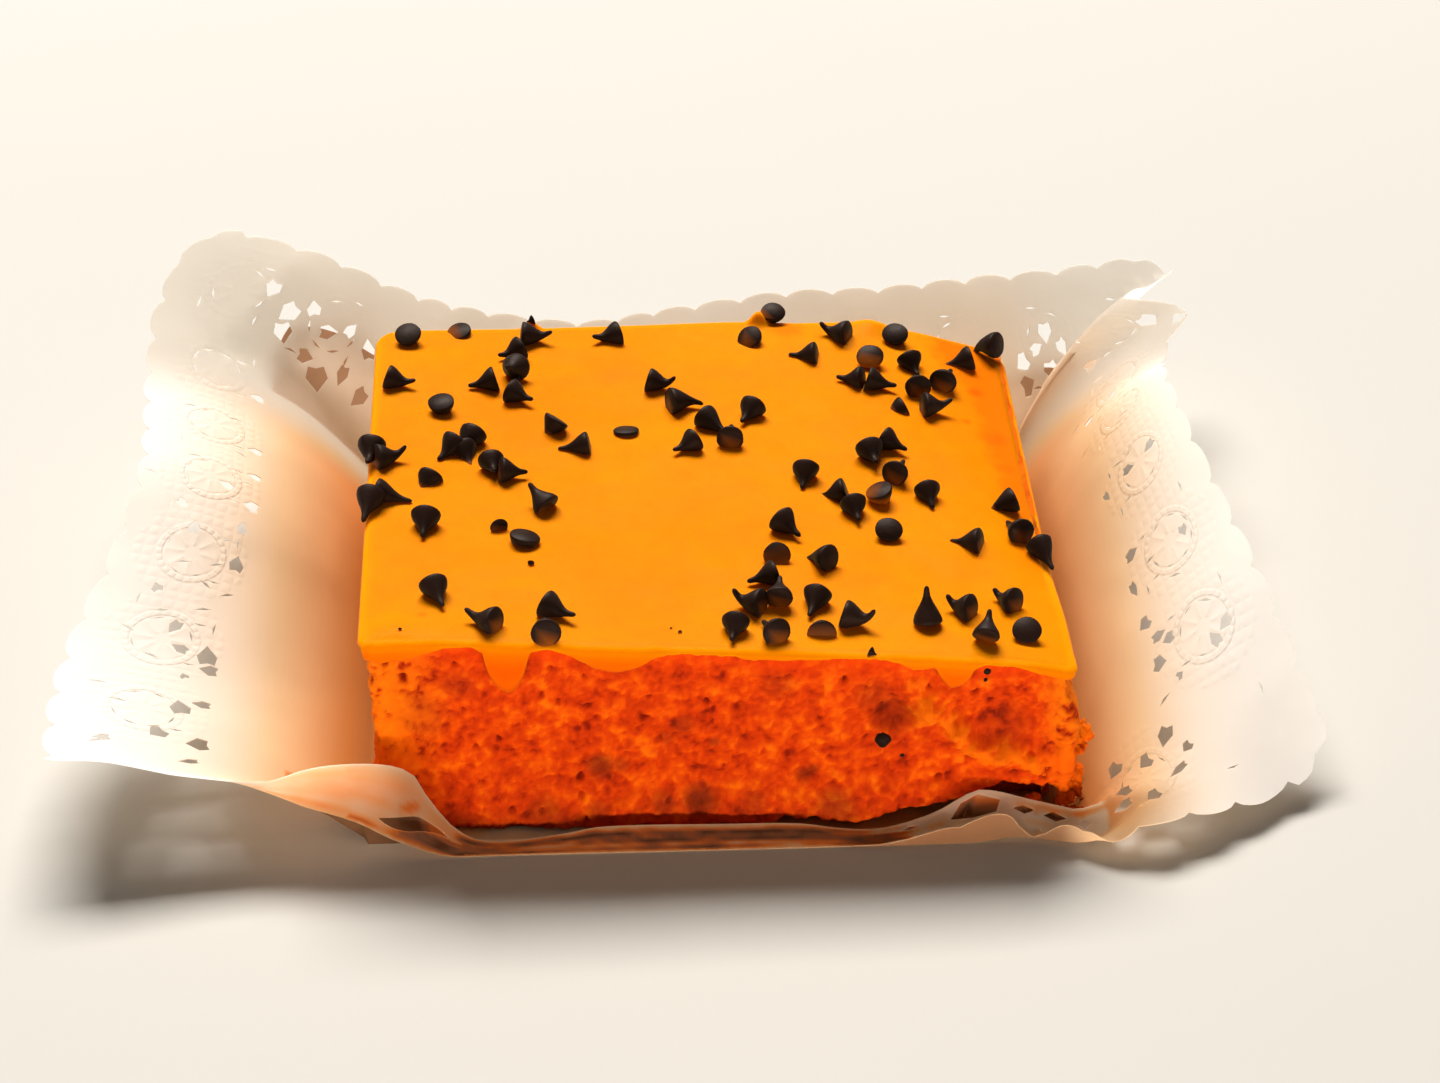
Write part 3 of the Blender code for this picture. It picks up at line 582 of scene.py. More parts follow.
def flat_sheet():
    """Triangles of the flat sheet between its edge, its cuts and its fold lines."""
    rim = rim_path()
    holes = lace_holes(rim)
    points = list(rim)
    edges = [(i, (i + 1) % len(rim)) for i in range(len(rim))]
    for hole in holes:
        first = len(points)
        points += hole
        edges += [(first + i, first + (i + 1) % len(hole)) for i in range(len(hole))]

    def line(stops):
        first = len(points)
        points.extend(stops)
        edges.extend((first + i, first + i + 1) for i in range(len(stops) - 1))

    corners = [(-FLOOR_SIDE, FLOOR_FRONT), (FLOOR_SIDE, FLOOR_FRONT), (FLOOR_SIDE, FLOOR_BACK),
               (-FLOOR_SIDE, FLOOR_BACK), (-FLOOR_SIDE, FLOOR_FRONT)]
    for a, b in zip(corners, corners[1:]):
        steps = round(math.dist(a, b) / 2.2)
        line([mix(a, b, i / steps) for i in range(steps)] + [b])
    for level in (RIDGE_ROW, FOOT_ROW + 0.02):
        stop = PAPER_RIGHT - 2.2
        line([(PAPER_LEFT + 2 + (stop - PAPER_LEFT - 2) * i / 110, level) for i in range(111)])
    line([mix((FLOOR_SIDE, FLOOR_BACK), (PAPER_RIGHT - 2, 56.9), i / 20) for i in range(21)])
    step = 2.3
    for i in range(int((PAPER_RIGHT - PAPER_LEFT) / step)):
        for k in range(int((PAPER_BACK - PAPER_FRONT) / step)):
            u, v = PAPER_LEFT + 1.9 + i * step, PAPER_FRONT + 1.7 + k * step
            if -FLOOR_SIDE < u < FLOOR_SIDE and FLOOR_FRONT < v < FLOOR_BACK and (i % 4 or k % 4):
                continue
            if v < FLOOR_FRONT and abs(v - RIDGE_ROW) < 1:
                continue
            if inside(u, v, rim):
                points.append((u, v))
    for k in range(1, 7):
        v = RIDGE_ROW + (FOOT_ROW - RIDGE_ROW) * k / 7
        points += [(u, v) for u in range(-88, 66) if not inside(u, v, holes[0])]
    for k in range(1, 14):
        v = RIDGE_ROW + (FOOT_ROW - RIDGE_ROW) * (k + 0.4) / 14.5
        points += [(u / 2 + 0.25, v) for u in range(-120, -84) if not inside(u / 2 + 0.25, v, holes[0])]
    found = delaunay_2d_cdt([Vector(p) for p in points], edges, [], 0, 1e-5)
    flat, faces = found[0], []
    cells = {}
    for h in holes:
        x, y = sum(p[0] for p in h) / len(h), sum(p[1] for p in h) / len(h)
        for a in (-1, 0, 1):
            for b in (-1, 0, 1):
                cells.setdefault((int(x // 6) + a, int(y // 6) + b), []).append(h)
    for face in found[2]:
        x = sum(flat[i].x for i in face) / 3
        y = sum(flat[i].y for i in face) / 3
        if not inside(x, y, rim):
            continue
        if any(inside(x, y, h) for h in cells.get((int(x // 6), int(y // 6)), ())):
            continue
        faces.append(tuple(face))
    used = sorted({i for face in faces for i in face})
    renamed = {i: k for k, i in enumerate(used)}
    return [(flat[i].x, flat[i].y) for i in used], [tuple(renamed[i] for i in f) for f in faces]


# Soft creases pressed by hand: (from, to, height, width), the sharpest at the folded corners
CREASES = (((58, -53), (80, -26), 1.0, 3.0), ((62, 54), (88, 66), 0.8, 3.5), ((-58, 53), (-84, 63), -1.1, 4.0),
           ((-84, 63), (-101, 56), -0.9, 3.0), ((-96, 60), (-90, 84), 0.9, 3.5), ((-60, -50), (-92, -38), 0.5, 5.0),
           ((30, 55), (36, 84), 0.4, 4.0), ((-30, 55), (-38, 84), -0.5, 4.0), ((66, 10), (100, 4), 0.4, 4.0),
           ((-64, 10), (-104, 2), 0.4, 5.0))


def crumple(u, v):
    """How far the sheet stands off its smooth fold, in millimetres."""
    off = 0.0
    for (ax, ay), (bx, by), height, width in CREASES:
        dx, dy = bx - ax, by - ay
        f = min(1.0, max(0.0, ((u - ax) * dx + (v - ay) * dy) / (dx * dx + dy * dy)))
        d = math.hypot(u - ax - dx * f, v - ay - dy * f)
        off += height * math.exp(-d / width) * smooth(min(f, 1 - f) * 5 + 0.15)
    off += 0.45 * noise.noise(Vector((u * 0.05, v * 0.05, 2.0)))
    off += 0.16 * noise.noise(Vector((u * 0.2, v * 0.2, 5.0)))
    free = max(abs(u) - FLOOR_SIDE, v - FLOOR_BACK, 0.0)
    return off * smooth(free / 10)


def mesh_object(name, points, faces, finish, smooth_shaded=True):
    """A mesh in millimetres as a finished piece that stands on the root body."""
    mesh = bpy.data.meshes.new(name)
    mesh.from_pydata([metres(p) for p in points], [], faces)
    mesh.materials.append(finish)
    if smooth_shaded:
        mesh.shade_smooth()
    made = bpy.data.objects.new(name, mesh)
    scene.collection.objects.link(made)
    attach(made, "root")
    return made


flat, faces = flat_sheet()
# Behind each back corner the spare paper stands as a second, shaded thickness, painted brown so that painted shade
# shows through the cuts: (left, right, low, high)
PLEATS = ((-86, -46, 53.2, 71.0), (57, 84, 53.2, 67.0))
PLEAT_OFF = 3.2
single = len(flat)
for left, right, low, high in PLEATS:
    first, wide, tall = len(flat), round((right - left) / 2), 8
    for k in range(tall + 1):
        for i in range(wide + 1):
            dip = 0.12 * math.sin(math.pi * i / wide) ** 0.5 + 0.88
            flat.append((left + (right - left) * i / wide, low + (high - low) * dip * k / tall))
    for k in range(tall):
        for i in range(wide):
            a = first + k * (wide + 1) + i
            faces += [(a, a + 1, a + wide + 2), (a, a + wide + 2, a + wide + 1)]
middle = [Vector(folded(u, v)) for u, v in flat]


def sheet_normals(points, triangles):
    normals = [Vector((0, 0, 0)) for _ in points]
    for a, b, c in triangles:
        turn = (points[b] - points[a]).cross(points[c] - points[a])
        if turn.length > 1e-9:
            turn.normalize()
            for i, j, k in ((a, b, c), (b, c, a), (c, a, b)):
                normals[i] += turn * (points[j] - points[i]).angle(points[k] - points[i], 0.0)
    return [n.normalized() for n in normals]


normals = sheet_normals(middle, faces)
middle = [p + n * (crumple(u, v) - (PLEAT_OFF * smooth((v - 52) / 8) if i >= single else 0.0))
          for i, (p, n, (u, v)) in enumerate(zip(middle, normals, flat))]
normals = sheet_normals(middle, faces)
count = len(middle)
sheet_points = [p + n * PAPER_HALF for p, n in zip(middle, normals)]
sheet_points += [p - n * PAPER_HALF for p, n in zip(middle, normals)]
sheet_points = [(p.x, p.y, max(p.z, 0.0)) for p in sheet_points]
sheet_faces = list(faces) + [(c + count, b + count, a + count) for a, b, c in faces]
owned = {(i, j) for a, b, c in faces for i, j in ((a, b), (b, c), (c, a))}
for i, j in sorted(owned):
    if (j, i) not in owned:
        sheet_faces += [(i, i + count, j + count), (i, j + count, j)]



def painted_bounce_shade_and_grease(u, v, p):
    """How far the paper is tinted towards the cake's colour: 0 white, 0.75 peach, 1 brown; peach near the cake is
    painted bounce light with some grease, the brown of the front fold and its openings is painted shade.
    """
    dx = max(-56.8 - p[0], p[0] - 55.8, 0.0)
    dy = max(-51.5 - p[1], p[1] - 52.0, 0.0)
    dz = max(p[2] - 33.0, 0.0)
    reach = 19.0 if p[0] < 0 else 15.0
    # Painted bounce light with some grease: peach that fades with distance from the cake, weaker behind it
    near = 0.47 * math.exp(-(math.sqrt(dx * dx + dy * dy + dz * dz) / reach) ** 1.5)
    near *= 1 - (0.85 - 0.15 * smooth((p[0] + 10) / 40)) * smooth((p[1] - 40) / 12)
    # Painted shade: the dark slot under the left flap is brown
    if p[1] < -47 and p[0] < -48 and p[2] < 9 and v > RIDGE_ROW:
        return 1.0
    # Painted light: the shaded strip inside the front fold is kept nearly white
    if v < -49 and -44 < u < -20:
        near = 0.10
    # Painted shade: the window under the right crest is brown
    if RIDGE_ROW < v < FLOOR_FRONT - 0.3 and 34 < u < FLOOR_SIDE:
        return 1.0
    if u > FLOOR_SIDE + 6 or v > RIDGE_ROW + 0.7:
        return near
    # Painted shade on the front fold: its outer face, in the cake's shadow, is brown with streaks where its layers
    # part; the flap over the slot stays paler and the edge strip beyond the foot gets a little; the orange spot on the
    # left flap is a real stain
    fold = smooth((u + 90) / 24)
    if v > RIDGE_ROW - 0.3:
        return 0.08 * fold
    if v < FOOT_ROW + 0.3:
        return 0.17 * fold
    layer = noise.noise(Vector((u * 0.05, v * 1.3, 8.0))) + 0.5 * noise.noise(Vector((u * 0.3, v * 2.5, 3.0)))
    brown = 0.66 + 0.75 * layer - 0.75 * smooth((u - 26) / 8)
    flap = smooth((-41.5 - p[0]) / 2.5) * smooth((v - slot_row(u) + 0.6) / 0.4)
    stain = 0.44 * smooth(1.3 - math.hypot((p[0] + 50.3) / 2.3, (p[2] - 9.6) / 1.3)) if v < RIDGE_ROW - 0.4 else 0.0
    cream = 0.14 + 0.08 * layer + 0.08 * smooth((10 - p[2]) / 6)
    return min(1.0, max(0.06, stain, brown * (1 - flap) + cream * flap)) * fold


# Pressed relief of the lace: hub, spokes and beaded ring of each wheel, from each face's own wheel
pressed, g_in, g_out = new_group("pressed wheel", (("Wheel", "NodeSocketVector", None),),
                                 (("Height", "NodeSocketFloat"),))
split = add_node(pressed, "ShaderNodeSeparateXYZ", {0: g_in.outputs["Wheel"]})
across = maths(pressed, "MULTIPLY", maths(pressed, "SUBTRACT", split.outputs[0], 0.5), 100.0)
upward = maths(pressed, "MULTIPLY", maths(pressed, "SUBTRACT", split.outputs[1], 0.5), 100.0)
reach = maths(pressed, "SQRT", maths(pressed, "ADD", maths(pressed, "MULTIPLY", across, across),
                                     maths(pressed, "MULTIPLY", upward, upward)))
turn = maths(pressed, "ARCTAN2", upward, across)
spokes = maths(pressed, "ABSOLUTE", maths(pressed, "SINE", maths(pressed, "MULTIPLY", turn, 4.0)))
in_wheel = maths(pressed, "MULTIPLY", band(pressed, reach, 1.2, 1.8), band(pressed, reach, 5.0, 4.4))
ring = maths(pressed, "MULTIPLY", band(pressed, reach, 5.0, 5.3), band(pressed, reach, 6.3, 5.9))
beads = maths(pressed, "ABSOLUTE", maths(pressed, "SINE", maths(pressed, "MULTIPLY", turn, 12.0)))
weave_a = maths(pressed, "ABSOLUTE", maths(pressed, "SINE", maths(pressed, "MULTIPLY", across, 1.5)))
weave_b = maths(pressed, "ABSOLUTE", maths(pressed, "SINE", maths(pressed, "MULTIPLY", upward, 1.5)))
between = maths(pressed, "MULTIPLY", maths(pressed, "MULTIPLY", weave_a, weave_b),
                maths(pressed, "MULTIPLY", band(pressed, reach, 6.4, 6.9), band(pressed, reach, 10.5, 9.5)))
total = maths(pressed, "ADD", maths(pressed, "MULTIPLY", in_wheel, maths(pressed, "SUBTRACT", 1.0, spokes)),
              maths(pressed, "ADD", maths(pressed, "MULTIPLY", ring, maths(pressed, "ADD", beads, 0.4)),
                    maths(pressed, "MULTIPLY", between, 0.8)))
pressed.links.new(total, g_out.inputs["Height"])

paper_finish, tree, shader = surface("stamped white paper", Roughness=0.82, Specular_IOR_Level=0.25)
fibre = use_group(tree, mottle, {"Vector": places(tree), "Large": 45.0, "Small": 1500.0, "Share": 0.5})
white = blend(tree, fibre.outputs["Mask"], (0.970, 0.952, 0.920), (0.990, 0.982, 0.965))
# Painted bounce light, grease and painted shade: the tint mark darkens the white towards peach and brown
bounce_shade_grease_tint = add_node(tree, "ShaderNodeAttribute", attribute_name="bounce_shade_grease_tint").outputs["Fac"]
peach = ramp(tree, bounce_shade_grease_tint, ((0.0, (1.0, 1.0, 1.0)), (0.20, (1.0, 0.72, 0.44)), (0.42, (1.0, 0.42, 0.12)),
                          (0.60, (0.72, 0.31, 0.14)), (0.80, (0.46, 0.26, 0.16)), (1.0, (0.24, 0.12, 0.06))))
white = blend(tree, 1.0, white, peach, "MULTIPLY")
white = calmer_bounce(tree, white, blend(tree, 0.6, white, (0.93, 0.86, 0.77)))
tree.links.new(white, shader.inputs["Base Color"])
wheel_map = add_node(tree, "ShaderNodeUVMap", uv_map="wheel")
lace = use_group(tree, pressed, {"Wheel": wheel_map.outputs["UV"]})
height = maths(tree, "ADD", lace.outputs["Height"], maths(tree, "MULTIPLY", fibre.outputs["Fine"], 0.12))
relief(tree, shader, height, 0.00016, 0.7)
through = add_node(tree, "ShaderNodeBsdfTranslucent", {"Color": white})
axes = add_node(tree, "ShaderNodeSeparateXYZ", {0: places(tree)}).outputs
at_back = band(tree, axes["Y"], 0.036, 0.052)
lies_flat = band(tree, maths(tree, "ABSOLUTE", axes["X"]), 0.064, 0.082)
lies_flat = maths(tree, "MULTIPLY", lies_flat, maths(tree, "SUBTRACT", 1.0, at_back))
at_front = maths(tree, "MULTIPLY", band(tree, axes["Y"], -0.052, -0.057), maths(tree, "SUBTRACT", 1.0, lies_flat))
thin = maths(tree, "MULTIPLY_ADD", at_front, 0.26, maths(tree, "MULTIPLY_ADD", lies_flat, -0.20, 0.67))
thin = maths(tree, "MULTIPLY_ADD", at_back, 0.22, thin)
join = add_node(tree, "ShaderNodeMixShader", {0: thin})
tree.links.new(shader.outputs[0], join.inputs[1])
tree.links.new(through.outputs[0], join.inputs[2])
tree.links.new(join.outputs[0], tree.nodes["Material Output"].inputs["Surface"])

paper = mesh_object("paper_lace_mat", sheet_points, sheet_faces, paper_finish)
wheel_uv = paper.data.uv_layers.new(name="wheel")
for polygon in paper.data.polygons:
    corner_places = [flat[i % count] for i in polygon.vertices]
    u = sum(p[0] for p in corner_places) / len(corner_places)
    v = sum(p[1] for p in corner_places) / len(corner_places)
    wx, wy, _ = min(wheels, key=lambda w: (w[0] - u) ** 2 + (w[1] - v) ** 2)
    for loop, p in zip(polygon.loop_indices, corner_places):
        wheel_uv.data[loop].uv = (0.5 + (p[0] - wx) * 0.01, 0.5 + (p[1] - wy) * 0.01)
paper.data.set_sharp_from_angle(angle=math.radians(50))
# Painted bounce light, grease and painted shade for each point; the pleats get a brown tint as painted shade
bounce_shade_grease_layer = paper.data.attributes.new("bounce_shade_grease_tint", "FLOAT", "POINT")
bounce_shade_grease_layer.data.foreach_set("value", [0.80 if single <= i < count else painted_bounce_shade_and_grease(*flat[i % count], p)
                                 for i, p in enumerate(sheet_points)])
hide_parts("paper_lace")


# Sponge
# One cut block of orange sponge with an open, torn crumb. It is redder just under the icing, darker
# at its foot as browned crust and painted shade, and broken away low down at its right front corner.
GAP = 0.3
CAKE_LEFT = -56.8
CAKE_RIGHT = 55.8
CAKE_BACK = 50.0
FRONT_LEFT_Y = -49.6
FRONT_RIGHT_Y = -52.8
TOP_LEFT_Z = 36.0
TOP_RIGHT_Z = 29.6
# Roundness of the upright corners, from the front left one round
CORNERS = (2.6, 2.0, 4.0, 4.0)
SPONGE_FOOT = 0.5
GLAZE = 0.9
# Low right part of the cut face that has broken away: (x, height of the break)
CHIP = ((3, 0.0), (12, 1.9), (22, 1.0), (28.5, 3.0), (35.6, 4.0), (42.7, 6.0), (46.8, 7.2), (51.7, 6.3), (56, 8.2))
# Hollows and, with a minus, lumps of the cut face: (x, z, reach, depth)
DENTS = ((26.8, 20.4, 4.6, 2.6), (24.0, 24.0, 3.0, 1.2), (33.2, 22.3, 3.4, -2.6), (31.4, 19.0, 2.0, -1.2),
         (36.2, 25.0, 2.6, -1.2), (44.5, 20.8, 7.5, 1.9), (46.0, 16.5, 4.5, 1.0), (37.4, 17.6, 3.0, -1.8),
         (40.8, 14.6, 2.8, -1.6), (45.0, 12.6, 3.6, -1.5), (50.0, 11.5, 3.4, -1.0), (38.0, 20.6, 2.2, 1.2),
         (-20, 11, 3.4, 0.9), (-4, 4.8, 3.0, 1.0), (-46, 30, 4.0, 0.7), (2, 22, 3.0, 0.6), (-34, 12, 5.0, 0.5),
         (12, 14, 5.0, 0.5), (-52, 12, 4.0, -0.5), (20, 8, 3.0, -0.6), (14, 9.0, 2.2, 0.9))
# Darker spots of the cut face; those in its hollows are painted shade: (x, z, reach, share)
SPOTS = ((-19.8, 11.1, 2.6, 0.8), (-16.5, 11.5, 1.6, 0.5), (-3.7, 4.8, 3.0, 0.9), (-9.5, 4.4, 2.2, 0.6),
         (13.2, 8.9, 1.5, 0.7), (14.6, 10.0, 1.2, 0.7), (5.0, 4.6, 2.4, 0.4), (-6.5, 19.3, 1.9, 0.45),
         (-9.0, 16.6, 1.3, 0.4), (-1.4, 15.8, 1.0, 0.6), (27.4, 20.4, 4.0, 0.5), (24.0, 24.5, 3.4, 0.35),
         (-48.0, 22.0, 4.5, 0.25), (-42.0, 27.5, 3.0, 0.3), (45.5, 17.6, 4.5, 0.3), (-29.0, 3.0, 3.0, 0.5),
         (18.5, 3.6, 3.5, 0.6), (-20.0, 3.2, 2.0, 0.5), (9.0, 26.8, 3.0, 0.3))
# How much the top swells between the ends of the cut face and along the back edge: (x, height)
SWELL_FRONT = ((-56.8, 0.0), (-46, 1.0), (-20, 1.1), (20, 1.5), (46, 1.0), (55.8, 0.0))
SWELL_BACK = ((-56.8, 0.0), (-45, 0.4), (-30, 0.8), (-10, 1.4), (8, 2.0), (30, 2.4), (38, 1.7), (45, 1.0), (55.8, 0.0))
BOW_BACK = ((-56.8, 0.0), (-45, 0.4), (-30, 1.0), (-10, 2.2), (8, 3.3), (18, 2.9), (30, 3.5), (38, 2.5), (45, 1.2),
            (55.8, 0.0))


def front_y(x):
    return FRONT_LEFT_Y + (FRONT_RIGHT_Y - FRONT_LEFT_Y) * (x - CAKE_LEFT) / (CAKE_RIGHT - CAKE_LEFT)


def back_y(x):
    return CAKE_BACK + along(x, BOW_BACK)[0]


def top_z(x, y):
    deep = min(1.0, max(0.0, (y - front_y(x)) / (CAKE_BACK - front_y(x))))
    swell = along(x, SWELL_FRONT)[0] * (1 - deep) + along(x, SWELL_BACK)[0] * deep
    return TOP_LEFT_Z + (TOP_RIGHT_Z - TOP_LEFT_Z) * (x - CAKE_LEFT) / (CAKE_RIGHT - CAKE_LEFT) + swell


def cake_outline(front_step, side_step):
    """Places round the cake from the front left corner: (x, y, outward x, outward y)."""
    corners = ((CAKE_LEFT, FRONT_LEFT_Y), (CAKE_RIGHT, FRONT_RIGHT_Y),
               (CAKE_RIGHT, CAKE_BACK), (CAKE_LEFT, CAKE_BACK))
    spots = []
    for k in range(4):
        a, b = Vector(corners[k]), Vector(corners[(k + 1) % 4])
        ahead = (b - a).normalized()
        out = Vector((ahead.y, -ahead.x))
        before, round_off = CORNERS[k], CORNERS[(k + 1) % 4]
        length = (b - a).length - before - round_off
        step = front_step if k == 0 else side_step
        steps = round(length / step)
        for i in range(steps + 1):
            p = a + ahead * (before + length * i / steps)
            spots.append((p.x, p.y, out.x, out.y))
        centre = b - ahead * round_off - out * round_off
        turned = Vector((-out.y, out.x))
        bends = max(3, round(round_off * 1.57 / step))
        for i in range(1, bends):
            a2 = math.pi / 2 * i / bends
            bend = out * math.cos(a2) + turned * math.sin(a2)
            spots.append((centre.x + bend.x * round_off, centre.y + bend.y * round_off, bend.x, bend.y))
    return [(x, y + along(x, BOW_BACK)[0] * smooth((y - CAKE_BACK + 8) / 8), nx, ny) for x, y, nx, ny in spots]


def crumb(p):
    """How far the torn crumb stands out at a place, in millimetres, and its tone from 0 to 1: random patches, with
    painted shade in its hollows and painted light where it stands out.
    """
    bent = p + 0.5 * noise.noise_vector(p * 0.9)
    swell = 0.5 * noise.noise(p * 0.17) + 0.35 * noise.noise(p * 0.36 + Vector((9, 0, 0)))
    patch = noise.noise(p * 0.30 + Vector((0, 0, 40))) + 0.6 * noise.noise(bent * 0.62 + Vector((5, 0, 0)))
    clump = noise.voronoi(bent / 2.3)[0][0]
    grain = noise.voronoi(bent / 1.0)[0][0]
    torn = noise.fractal(bent * 1.0, 1.0, 2.1, 3)
    spans, cells = noise.voronoi(bent / 2.6 + Vector((0, 31, 0)))
    kept = noise.cell(cells[0] * 7.3)
    hollow = smooth(1 - spans[0] / (0.14 + 0.28 * kept)) if kept > 0.35 else 0.0
    out = swell + 0.80 * (0.5 - clump) + 0.26 * (0.5 - grain) + 0.24 * torn - 1.3 * hollow
    tone = 0.52 + 0.42 * patch + 0.40 * (0.5 - clump) + 0.24 * (0.5 - grain) + 0.28 * torn - 0.8 * hollow
    return out, min(1.0, max(0.0, tone))


# A torn ridge that runs down the right of the cut face, made paler as a painted highlight: (x, z)
TEAR = ((30.4, 25.5), (30.9, 23.0), (33.7, 20.1), (37.4, 19.3), (38.9, 15.0), (41.6, 12.7), (47.5, 12.4), (51.4, 9.7))


def off_line(x, z, line):
    """How far a point of the cut face is from a line that runs over it."""
    best = 99.0
    for (ax, az), (bx, bz) in zip(line, line[1:]):
        run = (bx - ax) ** 2 + (bz - az) ** 2
        t = min(1.0, max(0.0, ((x - ax) * (bx - ax) + (z - az) * (bz - az)) / run))
        best = min(best, math.hypot(x - ax - t * (bx - ax), z - az - t * (bz - az)))
    return best


ring = cake_outline(0.36, 0.8)
count = len(ring)
levels = 90
points, tones, dark_spots_and_shade_values = [], [], []
for k in range(levels + 1):
    for x, y, nx, ny in ring:
        front = ny < -0.6
        top = top_z(x, y) - GLAZE - 0.05
        chip = along(x, CHIP)[0] if front or (y < -36 and nx > 0.2) else 0.0
        z = SPONGE_FOOT + (top - SPONGE_FOOT) * k / levels
        out, tone = crumb(Vector((x, y, z)))
        inset = 0.75 - out
        if front:
            # Hollows are made darker and lumps lighter, as painted shade and painted light
            for dx, dz, reach, deep in DENTS:
                share = smooth(1 - math.hypot(x - dx, z - dz) / reach)
                inset += deep * share
                tone -= (0.12 if deep > 0 else 0.22) * deep * share
            ragged = off_line(x, z, TEAR) + 0.9 * noise.noise(Vector((x * 0.7, z * 0.7, 21.0)))
            torn = smooth(1.25 - ragged / 1.7) * smooth((x - 25) / 4)
            inset -= torn * (0.7 + 0.5 * noise.noise(Vector((x * 1.1, z * 1.1, 5.0))))
            # Painted highlight: the raised torn ridge is paler
            tone += 0.42 * torn
        rag = chip + 0.8 * noise.noise(Vector((x * 0.45, y * 0.45, 3.0))) * smooth(chip / 2)
        broken = smooth(chip / 2) * smooth((rag - z) / 1.1 + 0.2)
        fade = smooth((y + 50) / 14) if nx > 0.5 else 0.0
        inset += 5.4 * broken * (1 - fade) + 0.5 * smooth(1 - (z - SPONGE_FOOT) / 1.5)
        if front:
            inset -= 2.6 * smooth(1 - (z - SPONGE_FOOT) / 9.0) * (1 - broken)
        if x > 0:
            inset -= 2.4 * max(0.0, nx) * smooth((27 - z) / 9) * smooth((-30 - y) / 12)
        # Painted shade: the broken-away recess is darker, and so are the listed spots
        dark_spots_and_shade = 0.75 * broken
        if front:
            for dx, dz, reach, share in SPOTS:
                dark_spots_and_shade = max(dark_spots_and_shade, share * smooth(1.35 - math.hypot(x - dx, z - dz) / reach))
        near_top = smooth((z - top + 1.6) / 1.6)
        inset = inset * (1 - 0.6 * near_top) + 0.25 * near_top
        points.append((x - nx * inset, y - ny * inset, z))
        tones.append(min(1.0, max(0.0, tone)))
        dark_spots_and_shade_values.append(dark_spots_and_shade)
faces = [tuple(reversed(range(count)))]
for k in range(levels):
    for i in range(count):
        j = (i + 1) % count
        faces.append((k * count + i, k * count + j, (k + 1) * count + j, (k + 1) * count + i))
faces.append(tuple(range(levels * count, (levels + 1) * count)))

sponge_finish, tree, shader = surface("orange crumb", Roughness=0.8, Specular_IOR_Level=0.06,
                                      Subsurface_Weight=0.15, Subsurface_Scale=0.003)
shader.inputs["Subsurface Radius"].default_value = (1.0, 0.35, 0.04)
spot = places(tree)
blotch = use_group(tree, mottle, {"Vector": spot, "Large": 110.0, "Small": 900.0, "Share": 0.35})
# The tone mark holds random patches together with painted shade and light of the crumb's relief
tone = add_node(tree, "ShaderNodeAttribute", attribute_name="tone").outputs["Fac"]
tone = maths(tree, "ADD", maths(tree, "MULTIPLY", tone, 0.72), maths(tree, "MULTIPLY", blotch.outputs["Mask"], 0.32))
crumb_colour = ramp(tree, tone, ((0.16, (0.24, 0.009, 0.0003)), (0.34, (0.56, 0.030, 0.0003)),
                                 (0.52, (0.72, 0.048, 0.0003)), (0.68, (0.84, 0.080, 0.0004)),
                                 (0.86, (1.0, 0.150, 0.0007))))
axes = add_node(tree, "ShaderNodeSeparateXYZ", {0: spot}).outputs
top_line = maths(tree, "MULTIPLY_ADD", axes["X"], -0.0568, 0.0335)
wander = maths(tree, "MULTIPLY_ADD", blotch.outputs["Mask"], 0.008, -0.004)
under_icing = band(tree, maths(tree, "ADD", maths(tree, "SUBTRACT", top_line, axes["Z"]), wander), 0.0055, 0.0005)
crumb_colour = blend(tree, maths(tree, "MULTIPLY", under_icing, 0.6), crumb_colour, (0.84, 0.048, 0.0004))
# Painted light: the two ends of the cut face are lighter and yellower, redder low down, to make up for light they lack;
# pits stay darker
rim = maths(tree, "MAXIMUM", band(tree, maths(tree, "ADD", axes["X"], wander), 0.0500, 0.0550),
            band(tree, maths(tree, "ADD", axes["X"], wander), -0.042, -0.0560))
rim = maths(tree, "MULTIPLY", rim, band(tree, tone, 0.20, 0.55))
rim_colour = blend(tree, band(tree, axes["Z"], 0.020, 0.010), (1.0, 0.200, 0.001), (1.0, 0.130, 0.0006))
crumb_colour = blend(tree, maths(tree, "MULTIPLY", rim, 0.85), crumb_colour, rim_colour)
# Painted light: the sides of the block are lightened
side = band(tree, axes["Y"], -0.046, -0.038)
crumb_colour = blend(tree, maths(tree, "MULTIPLY", side, 0.55), crumb_colour, (0.95, 0.15, 0.002))
dark_spots_and_shade = add_node(tree, "ShaderNodeAttribute", attribute_name="dark_spots_and_shade").outputs["Fac"]
crumb_colour = blend(tree, maths(tree, "MULTIPLY", dark_spots_and_shade, 0.85), crumb_colour, (0.17, 0.020, 0.003))
# Darker at the foot: browned crust with painted shade
foot = band(tree, maths(tree, "ADD", axes["Z"], wander), 0.0050, 0.0012)
crumb_colour = blend(tree, maths(tree, "MULTIPLY", foot, 0.55), crumb_colour, (0.33, 0.024, 0.0015))
crumb_colour = calmer_bounce(tree, crumb_colour, (0.40, 0.20, 0.10))
tree.links.new(crumb_colour, shader.inputs["Base Color"])
relief(tree, shader, blotch.outputs["Fine"], 0.0003, 0.7)


def marked_piece(name, points, faces, finish, marks):
    """A closed piece whose faces look outwards, with one number a point for each named mark."""
    made = mesh_object(name, points, faces, finish)
    for label, values in marks.items():
        layer = made.data.attributes.new(label, "FLOAT", "POINT")
        layer.data.foreach_set("value", values)
    work = bmesh.new()
    work.from_mesh(made.data)
    bmesh.ops.recalc_face_normals(work, faces=work.faces)
    work.to_mesh(made.data)
    work.free()
    made.data.shade_smooth()
    return made


